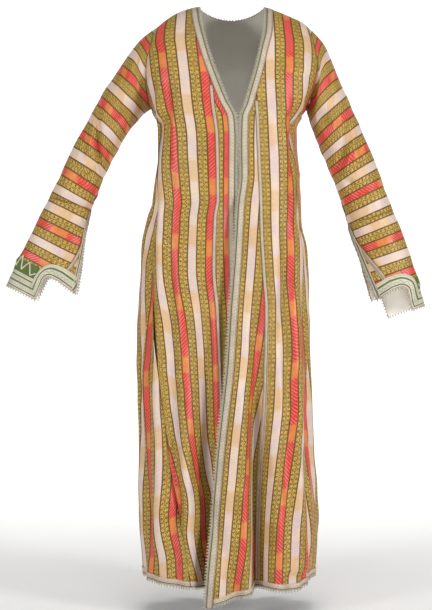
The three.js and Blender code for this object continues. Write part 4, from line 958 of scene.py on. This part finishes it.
# Creases: from and to along the sleeve, and round it from the outer line to the front, half width and depth.
SLEEVE_CREASES = [
    (190, 330, 0.5, 1.5, 0.2, -4), (180, 296, 0.3, 3.2, 0.38, -15), (250, 380, 2.6, 1.4, 0.2, -5),
    (60, 210, 2.5, 1.7, 0.25, -7), (120, 340, 4.4, 3.8, 0.25, -5),
]
# How the stripes lie askew to the sleeve: how much further along they are on the inner line than on the outer one.
STRIPE_SLANT = {
    "right": [(0, 130), (34, 116), (122, 75), (232, 53), (290, 30), (348, 0), (402, -17), (448, -20), (496, -18),
              (560, -2)],
    "left": [(0, 120), (34, 101), (122, 61), (178, 34), (232, 24), (290, 8), (348, 2), (402, -10), (448, -12),
             (496, -5), (560, 0)],
}
# How far along the sleeve a red stripe's middle lies, on the upper piece, the lower piece and the gore.
UPPER_RED, LOWER_RED, SLEEVE_GORE_RED = 45, 458, 463


def sleeve_oval(side, along, turn):
    """An oval between the sleeve's outer and inner lines, which the slit opens at its inner end."""
    outer_x, outer_z, inner_x, inner_z, front, back = [follow(SLEEVE[side], along, k) for k in range(1, 7)]
    opened = SLIT_SPREAD * smooth((along - SLEEVE_JOIN) / (CUFF_AT - SLEEVE_JOIN))
    turned = turn * (1 - opened / math.pi)
    outer = (np.cos(turned) + np.cos(opened)) / (1 + np.cos(opened))
    y = -np.where(np.sin(turned) > 0, front, back) * np.sin(turned)
    return np.stack([inner_x + (outer_x - inner_x) * outer, y, inner_z + (outer_z - inner_z) * outer], -1)


def armhole_ring(side, turn):
    """The armhole's edge on the body, just clear of it."""
    z = ARMPIT + (ARMHOLE_TOP - ARMPIT) * (1 + np.cos(turn)) / 2
    on = [hang(angle_at(face, armhole_x(side, face, z), z), z, "both") for face in ("front", "back")]
    return np.where((np.sin(turn) >= 0)[..., None], *on) + np.array([OUTWARD[side] * 0.4, 0, 0])


def sleeve_base(side, along, turn):
    left = (1 - smooth(along / ARMHOLE_EASE))[..., None]
    away = armhole_ring(side, turn) - sleeve_oval(side, 0 * along, turn)
    return sleeve_oval(side, along, turn) + away * left


def sleeve_at(side, along, turn):
    """Points of a sleeve's outside, by how far along it they lie and the turn from its outer line to the front."""
    along, turn = np.broadcast_arrays(np.asarray(along, float), np.asarray(turn, float))
    point = sleeve_base(side, along, turn)
    calm = smooth(along / 60)
    out = calm * (1.3 * np.sin(along / 19 + 1.6 * np.sin(turn * 2 + 0.7)) * np.sin(turn * 1.5 + along / 140)
                  + 0.9 * np.sin(along / 8.7 + 2.2 * np.sin(turn * 3)) * np.sin(turn * 2 + along / 55 + 1) ** 2)
    for start, end, turn_from, turn_to, half, depth in SLEEVE_CREASES:
        share = np.clip((along - start) / (end - start), 0, 1)
        away = between(turn, turn_from + (turn_to - turn_from) * share) / half
        out = out + depth * np.sin(math.pi * share) ** 2 * np.exp(-away * away)
    middle = (sleeve_base(side, along, 0 * turn) + sleeve_base(side, along, 0 * turn + math.pi)) / 2
    return point + unit(point - middle) * out[..., None], point - middle


def half_girth(side, along):
    """Half the way round the sleeve, with half its oval's length and its depths in front and behind."""
    outer_x, outer_z, inner_x, inner_z, *depths = [follow(SLEEVE[side], along, k) for k in range(1, 7)]
    long = np.hypot(outer_x - inner_x, outer_z - inner_z) / 2
    front, back = [math.pi * np.sqrt((long * long + d * d) / 2) for d in depths]
    return (front + back) / 2, long, depths


def turn_of(side, along, distance):
    """The turn at a distance round the sleeve from the middle of its tongue."""
    girth, long, depths = half_girth(side, along)
    past = distance - OUTER_LINE[side]
    even = math.pi * past / (girth - np.sign(past) * OUTER_LINE[side])
    depth = np.where(past > 0, *depths)
    flat = (long * long - depth * depth) / (long * long + depth * depth)
    return even + 0.22 * flat * np.sin(2 * even)


def on_cuff(side, along, distance):
    """Points of the lower sleeve with the way they face."""
    def at(a, d):
        return sleeve_at(side, a, turn_of(side, a, d))[0]
    along, distance = np.broadcast_arrays(np.asarray(along, float), np.asarray(distance, float))
    across = at(along, distance + 1) - at(along, distance - 1)
    down = at(along + 1, distance) - at(along - 1, distance)
    normal = unit(np.cross(across, down))
    _, away = sleeve_at(side, along, turn_of(side, along, distance))
    return at(along, distance), normal * np.sign(np.sum(normal * away))


def sleeve_stripes(side, along, turn, red_at):
    askew = follow(STRIPE_SLANT[side], along) * (1 - np.cos(turn)) / 2
    return pairs(along + askew - red_at, turn / math.pi * half_girth(side, along)[0])


# Round the cuff, from the middle of the tongue: its half width, the notch beside it, and the gore's seam.
TONGUE_HALF, TONGUE_LONG, TONGUE_CORNER = 106, 56, 22
NOTCH_MIDDLE, NOTCH_DEEP, NOTCH_RADIUS = 119, 10, 13
GORE_LINE, GORE_TOP = 132, 0.14
# The slit's braid is this wide, and the slit's foot lies this far past the cuff.
SLIT_BRAID, SLIT_PAST = 9, 5


def slit_at(side, along):
    opened = np.clip((along - SLEEVE_JOIN) / (CUFF_AT - SLEEVE_JOIN), 0, 1)
    return half_girth(side, along)[0] - HALF_GAP - (SLIT_OPEN / 2 - HALF_GAP) * opened


def slit_foot(side):
    return float(slit_at(side, CUFF_AT + SLIT_PAST))


def gore_line(side, share):
    """The gore's seam, which leaves the slit near the top of the lower piece."""
    slit = slit_at(side, SLEEVE_START + (CUFF_AT - SLEEVE_START) * share)
    return slit, slit + (GORE_LINE - slit) * np.clip((share - GORE_TOP) / (1 - GORE_TOP), 0, 1)


def cuff_edge(side):
    """The cut edge from the tongue's middle to the slit: distance round, how far past the cuff, and the way in."""
    slit, half, long = slit_foot(side), TONGUE_HALF, TONGUE_LONG
    tongue = [(0, long, 0, -1), (half - TONGUE_CORNER, long, 0, -1), (half, long, -1, -1),
              (half, long - TONGUE_CORNER, -1, 0)]
    notch = [(NOTCH_MIDDLE - NOTCH_RADIUS * math.cos(a), NOTCH_DEEP - NOTCH_RADIUS * math.sin(a), -math.cos(a),
              -math.sin(a)) for a in np.radians([0, 12, 25, 38, 51, 64, 77, 90])]
    return tongue + notch + [(GORE_LINE, -3, 0, -1), (slit - SLIT_BRAID, 3, 0, -1), (slit, SLIT_PAST, 0, -1)]


def cuff_past(side, distance):
    """How far along the cut edge lies, where the tongue's upright side takes a hair's breadth."""
    edge = cuff_edge(side)
    aside = [0, 0, 0, 0.15] + [0.3] * (len(edge) - 4)
    return CUFF_AT + np.interp(np.abs(distance), [p[0] + a for p, a in zip(edge, aside)], [p[1] for p in edge])


def sleeve_piece(node, points, measures, away):
    cloth = lay_cloth(f"{node}_cloth", points, measures, away, [silk, lining])
    belongs(node, "silk", cloth)
    return cloth


# Columns of the lower piece, as distances at the cuff, crowded round the tongue's sides and the notches.
NOTCH_COLUMNS = [106.0, 106.35, 106.9, 107.8, 109.3, 111.4, 113.8, 116.5, 119.3, 123, 127.5, GORE_LINE]
GORE_EASED = 119.3
for side in SIDES:
    turn = np.linspace(math.pi, 3 * math.pi, 97)
    along = np.linspace(0, SLEEVE_JOIN - HALF_GAP, 86)[:, None]
    points, away = sleeve_at(side, along, turn)
    measures = sleeve_stripes(side, *np.broadcast_arrays(along, turn), UPPER_RED)
    close_round(sleeve_piece(f"sleeve_upper_{side}", points, measures, away).data)

    slit_cuff = slit_foot(side)
    front = [*np.linspace(4, 102, 24), 104.5, *NOTCH_COLUMNS]
    back = [*front, *np.linspace(GORE_LINE, slit_cuff, 9)[1:]]
    columns = np.array([-d for d in reversed(back)] + [0] + front)
    share = np.linspace(0, 1, 52)[:, None]
    along = SLEEVE_START + (cuff_past(side, columns) - SLEEVE_START) * share
    behind = -GORE_LINE - (slit_at(side, along) - GORE_LINE) * (-columns - GORE_LINE) / (slit_cuff - GORE_LINE)
    seam = gore_line(side, share)[1]
    before = GORE_EASED + (seam - GORE_EASED) * (columns - GORE_EASED) / (GORE_LINE - GORE_EASED)
    distance = np.where(columns < -GORE_LINE, behind, np.where(columns > GORE_EASED, before, columns + 0 * along))
    points, up = on_cuff(side, along, distance)
    measures = sleeve_stripes(side, along, turn_of(side, along, distance), LOWER_RED)
    sleeve_piece(f"sleeve_lower_{side}", points, measures, up)

    # The gore lies between its seam and the slit.
    share = np.linspace(GORE_TOP + 0.002, 1, 46)[:, None]
    over = np.linspace(0, 1, 12)
    slit, seam = gore_line(side, share)
    distance = seam + SEAM_GAP + (slit - seam - SEAM_GAP) * over
    at_cuff = GORE_LINE + SEAM_GAP + (slit_cuff - GORE_LINE - SEAM_GAP) * over
    along = SLEEVE_START + (cuff_past(side, at_cuff) - SLEEVE_START) * share
    points, up = on_cuff(side, along, distance)
    measures = sleeve_stripes(side, along, turn_of(side, along, distance), SLEEVE_GORE_RED)
    sleeve_piece(f"sleeve_gore_{side}", points, measures, up)

# ---- Cuffs ---------------------------------------------------------------------------------------------------------
# A wide braid follows the cut edge of each cuff, with thread loops outside it. Over the tongue lie more bands of it
# and a field of green silk, on which a cream cord is sewn in a zigzag.
GREEN_THREAD, LIGHT_THREAD, THREAD_LINE = paint(70, 88, 30), paint(210, 206, 182), paint(158, 150, 118)
cuff_work = braid_work("cuff_braid", LIGHT_THREAD, [
    (0.8, 1.6, paint(166, 150, 136)), (5.9, 1.2, DARK_THREAD), (18.3, 1.8, GREEN_THREAD), (23.6, 0.4, THREAD_LINE),
    (26.6, 0.6, paint(198, 170, 152)),
], zigzag=(11.8, 2.4))
tongue_work = braid_work("tongue_bands", LIGHT_THREAD, [
    (24.5, 0.4, THREAD_LINE), (31.0, 1.6, GREEN_THREAD), (36.0, 0.4, THREAD_LINE), (39.8, 0.6, DARK_THREAD),
])
green_work = braid_work("green_field", paint(92, 112, 40), [], rib=1.2, shine=0.0)
CUFF_RELIEF = [(0, 0), (2.5, 0.3), (5.2, 0.3), (5.9, -0.1), (6.6, 0.4), (11, 0.6), (16.5, 0.5), (17.2, 0.2),
               (19.6, 0.3), (20, 0.5), (26, 0.4), (27, 0)]
SLEEVE_SEAM_RELIEF = [(0, 0), (1, 0.3), (5, 0.3), (6, 0)]
# How far in the braid reaches, as a share of its width, and how much of its pattern shows: all of it round the cuff,
# one band along the slit.
CUFF_BRAID, CUFF_REACH, CUFF_PATTERN = 20, 1.35, 27.0
SLIT_REACH, SLIT_PATTERN = 0.45, 9.0
# The zigzag's turns on one side of the tongue: way from its middle, and height above its edge.
ZIGZAG = [(13, 48), (27, 76), (37, 46), (51, 68), (66, 43), (78, 52)]
ZIGZAG_TOP, ZIGZAG_LIFT, ZIGZAG_RADIUS = 62, 2.0, 1.3
TONGUE_WORK_HALF = 80
TONGUE_WORK = [  # name, material, from and to as heights above the tongue's edge, rows, columns and lift
    ("tongue_bands", tongue_work, 26, 40.5, 12, 60, 0.4), ("green_field", green_work, 40.5, 67, 14, 56, 0.3),
]

for side in SIDES:
    # Round the cuff and up both sides of the slit: distance round, way along, the way in and the pattern's width.
    edge = [(d, CUFF_AT + past, a * CUFF_REACH, b * CUFF_REACH, CUFF_PATTERN) for d, past, a, b in cuff_edge(side)]
    edge[-1] = (*edge[-1][:2], -SLIT_REACH, -CUFF_REACH, SLIT_PATTERN)
    for a in SLEEVE_START + (CUFF_AT + SLIT_PAST - SLEEVE_START) * np.linspace(0.97, 0.04, 30):
        edge.append((float(slit_at(side, a)), a, -SLIT_REACH, 0, SLIT_PATTERN))
    route = np.array([(-d, a, -i, j, w) for d, a, i, j, w in reversed(edge[1:])] + edge)
    length = run_of(route[:, :2])
    at = np.unique(np.concatenate([length, np.arange(0, length[-1], 3.0)]))
    at = at[np.concatenate([[True], np.diff(at) > 0.2])]
    d, a, in_d, in_a, width = placed_at(at, length, route)[0].T[..., None]
    inward = np.linspace(0, 1, 24)
    points, up = on_cuff(side, a + in_a * CUFF_BRAID * inward, d + in_d * CUFF_BRAID * inward)
    measures = pairs(width * inward, at[:, None])
    strip = lay_braid(f"cuff_braid_{side}_work", points, up, 0.5, cuff_work, CUFF_RELIEF, measures, up)
    out = unit(points[:, 0] - points[:, 3])
    work = [strip, lay_picots(f"cuff_picots_{side}", points[:, 0], out, up[:, 0], 0.9)]

    for name, material, low, high, rows, columns, lift in TONGUE_WORK:
        over = np.linspace(-TONGUE_WORK_HALF, TONGUE_WORK_HALF, columns)
        height = np.linspace(low, high, rows)[:, None]
        points, up = on_cuff(side, CUFF_AT + TONGUE_LONG - height, over)
        work.append(lay_braid(f"{name}_{side}", points, up, lift, material, None, pairs(height, over), up))
    zigzag = np.array([(-d, h) for d, h in reversed(ZIGZAG)] + [(0, ZIGZAG_TOP)] + ZIGZAG, float)
    length = run_of(zigzag)
    d, h = placed_at(np.arange(0, length[-1], 1.5), length, zigzag)[0].T
    path, up = on_cuff(side, CUFF_AT + TONGUE_LONG - h, d)
    work.append(lay_cord(f"zigzag_cord_{side}", path + up * ZIGZAG_LIFT, up, ZIGZAG_RADIUS, cord_work, sides=7))
    belongs(f"cuff_braid_{side}", "braid", *work, sewn_to=[f"sleeve_lower_{side}_cloth"])

    # The narrow cream braid over the gore's seam.
    share = np.linspace(0.22, 0.90, 80)[:, None]
    distance = gore_line(side, share)[1] + SEAM_COLUMNS
    points, up = on_cuff(side, SLEEVE_START + (CUFF_AT - 3 - SLEEVE_START) * share, distance)
    name = f"sleeve_seam_braid_{side}"
    strip = lay_braid(f"{name}_work", points, up, 0.35, seam_work, SLEEVE_SEAM_RELIEF, None, up)
    belongs(name, "braid", strip, sewn_to=[f"sleeve_gore_{side}_cloth"])

# ---- Floor and light -----------------------------------------------------------------------------------------------
# A pale floor that runs up into a backdrop. Two broad soft lights stand in front, the stronger one at the wearer's
# left, with a weaker one above and one that whitens the backdrop.
FLOOR_Z = cad_box[0][2] - 0.03
FLOOR_FRONT, FLOOR_FLAT, FLOOR_WIDE, SWEEP_LONG = -4.6, 9, 18, 16
BEND_LONG, BEND_RADIUS = 2.5, 1.6
sweep = bmesh.new()
bmesh.ops.create_grid(sweep, x_segments=1, y_segments=60, size=0.5)
for vertex in sweep.verts:
    along = (vertex.co.y + 0.5) * SWEEP_LONG
    turn = min(max((along - FLOOR_FLAT) / BEND_LONG, 0), 1) * math.pi / 2
    rise = max(0, along - FLOOR_FLAT - BEND_LONG)
    vertex.co = (vertex.co.x * FLOOR_WIDE, FLOOR_FRONT + min(along, FLOOR_FLAT) + BEND_RADIUS * math.sin(turn),
                 FLOOR_Z + BEND_RADIUS * (1 - math.cos(turn)) + rise)
mesh = bpy.data.meshes.new("floor")
sweep.to_mesh(mesh)
sweep.free()
mesh.shade_smooth()
floor = bpy.data.objects.new("floor", mesh)
bpy.context.scene.collection.objects.link(floor)
mesh.materials.append(plain_material("pale_floor", (0.93, 0.93, 0.92), 0.9))

for name, place, goal, size, power in [
    ("key", (2.7, -2.4, -0.2), (0, 0, -0.65), 0.8, 80),
    ("fill", (-2.4, -2.6, -0.2), (0, 0, -0.65), 0.8, 54),
    ("top", (0, -1.6, 2.0), (0, 0, -0.3), 1.4, 22),
    ("backdrop", (0, 2.2, 2.6), (0, 6, -0.4), 2.4, 190),
]:
    light = bpy.data.lights.new(name, "AREA")
    light.size, light.energy = size, power
    lamp = bpy.data.objects.new(name, light)
    lamp.location = place
    x, y, z = np.array(goal) - np.array(place)
    lamp.rotation_euler = (math.atan2(math.hypot(x, y), -z), 0, math.atan2(y, x) - math.pi / 2)
    bpy.context.scene.collection.objects.link(lamp)

world = bpy.data.worlds.new("room")
world.use_nodes = True
sky = world.node_tree.nodes["Background"]
sky.inputs["Color"].default_value = (1, 1, 1, 1)
sky.inputs["Strength"].default_value = 0.24
bpy.context.scene.world = world
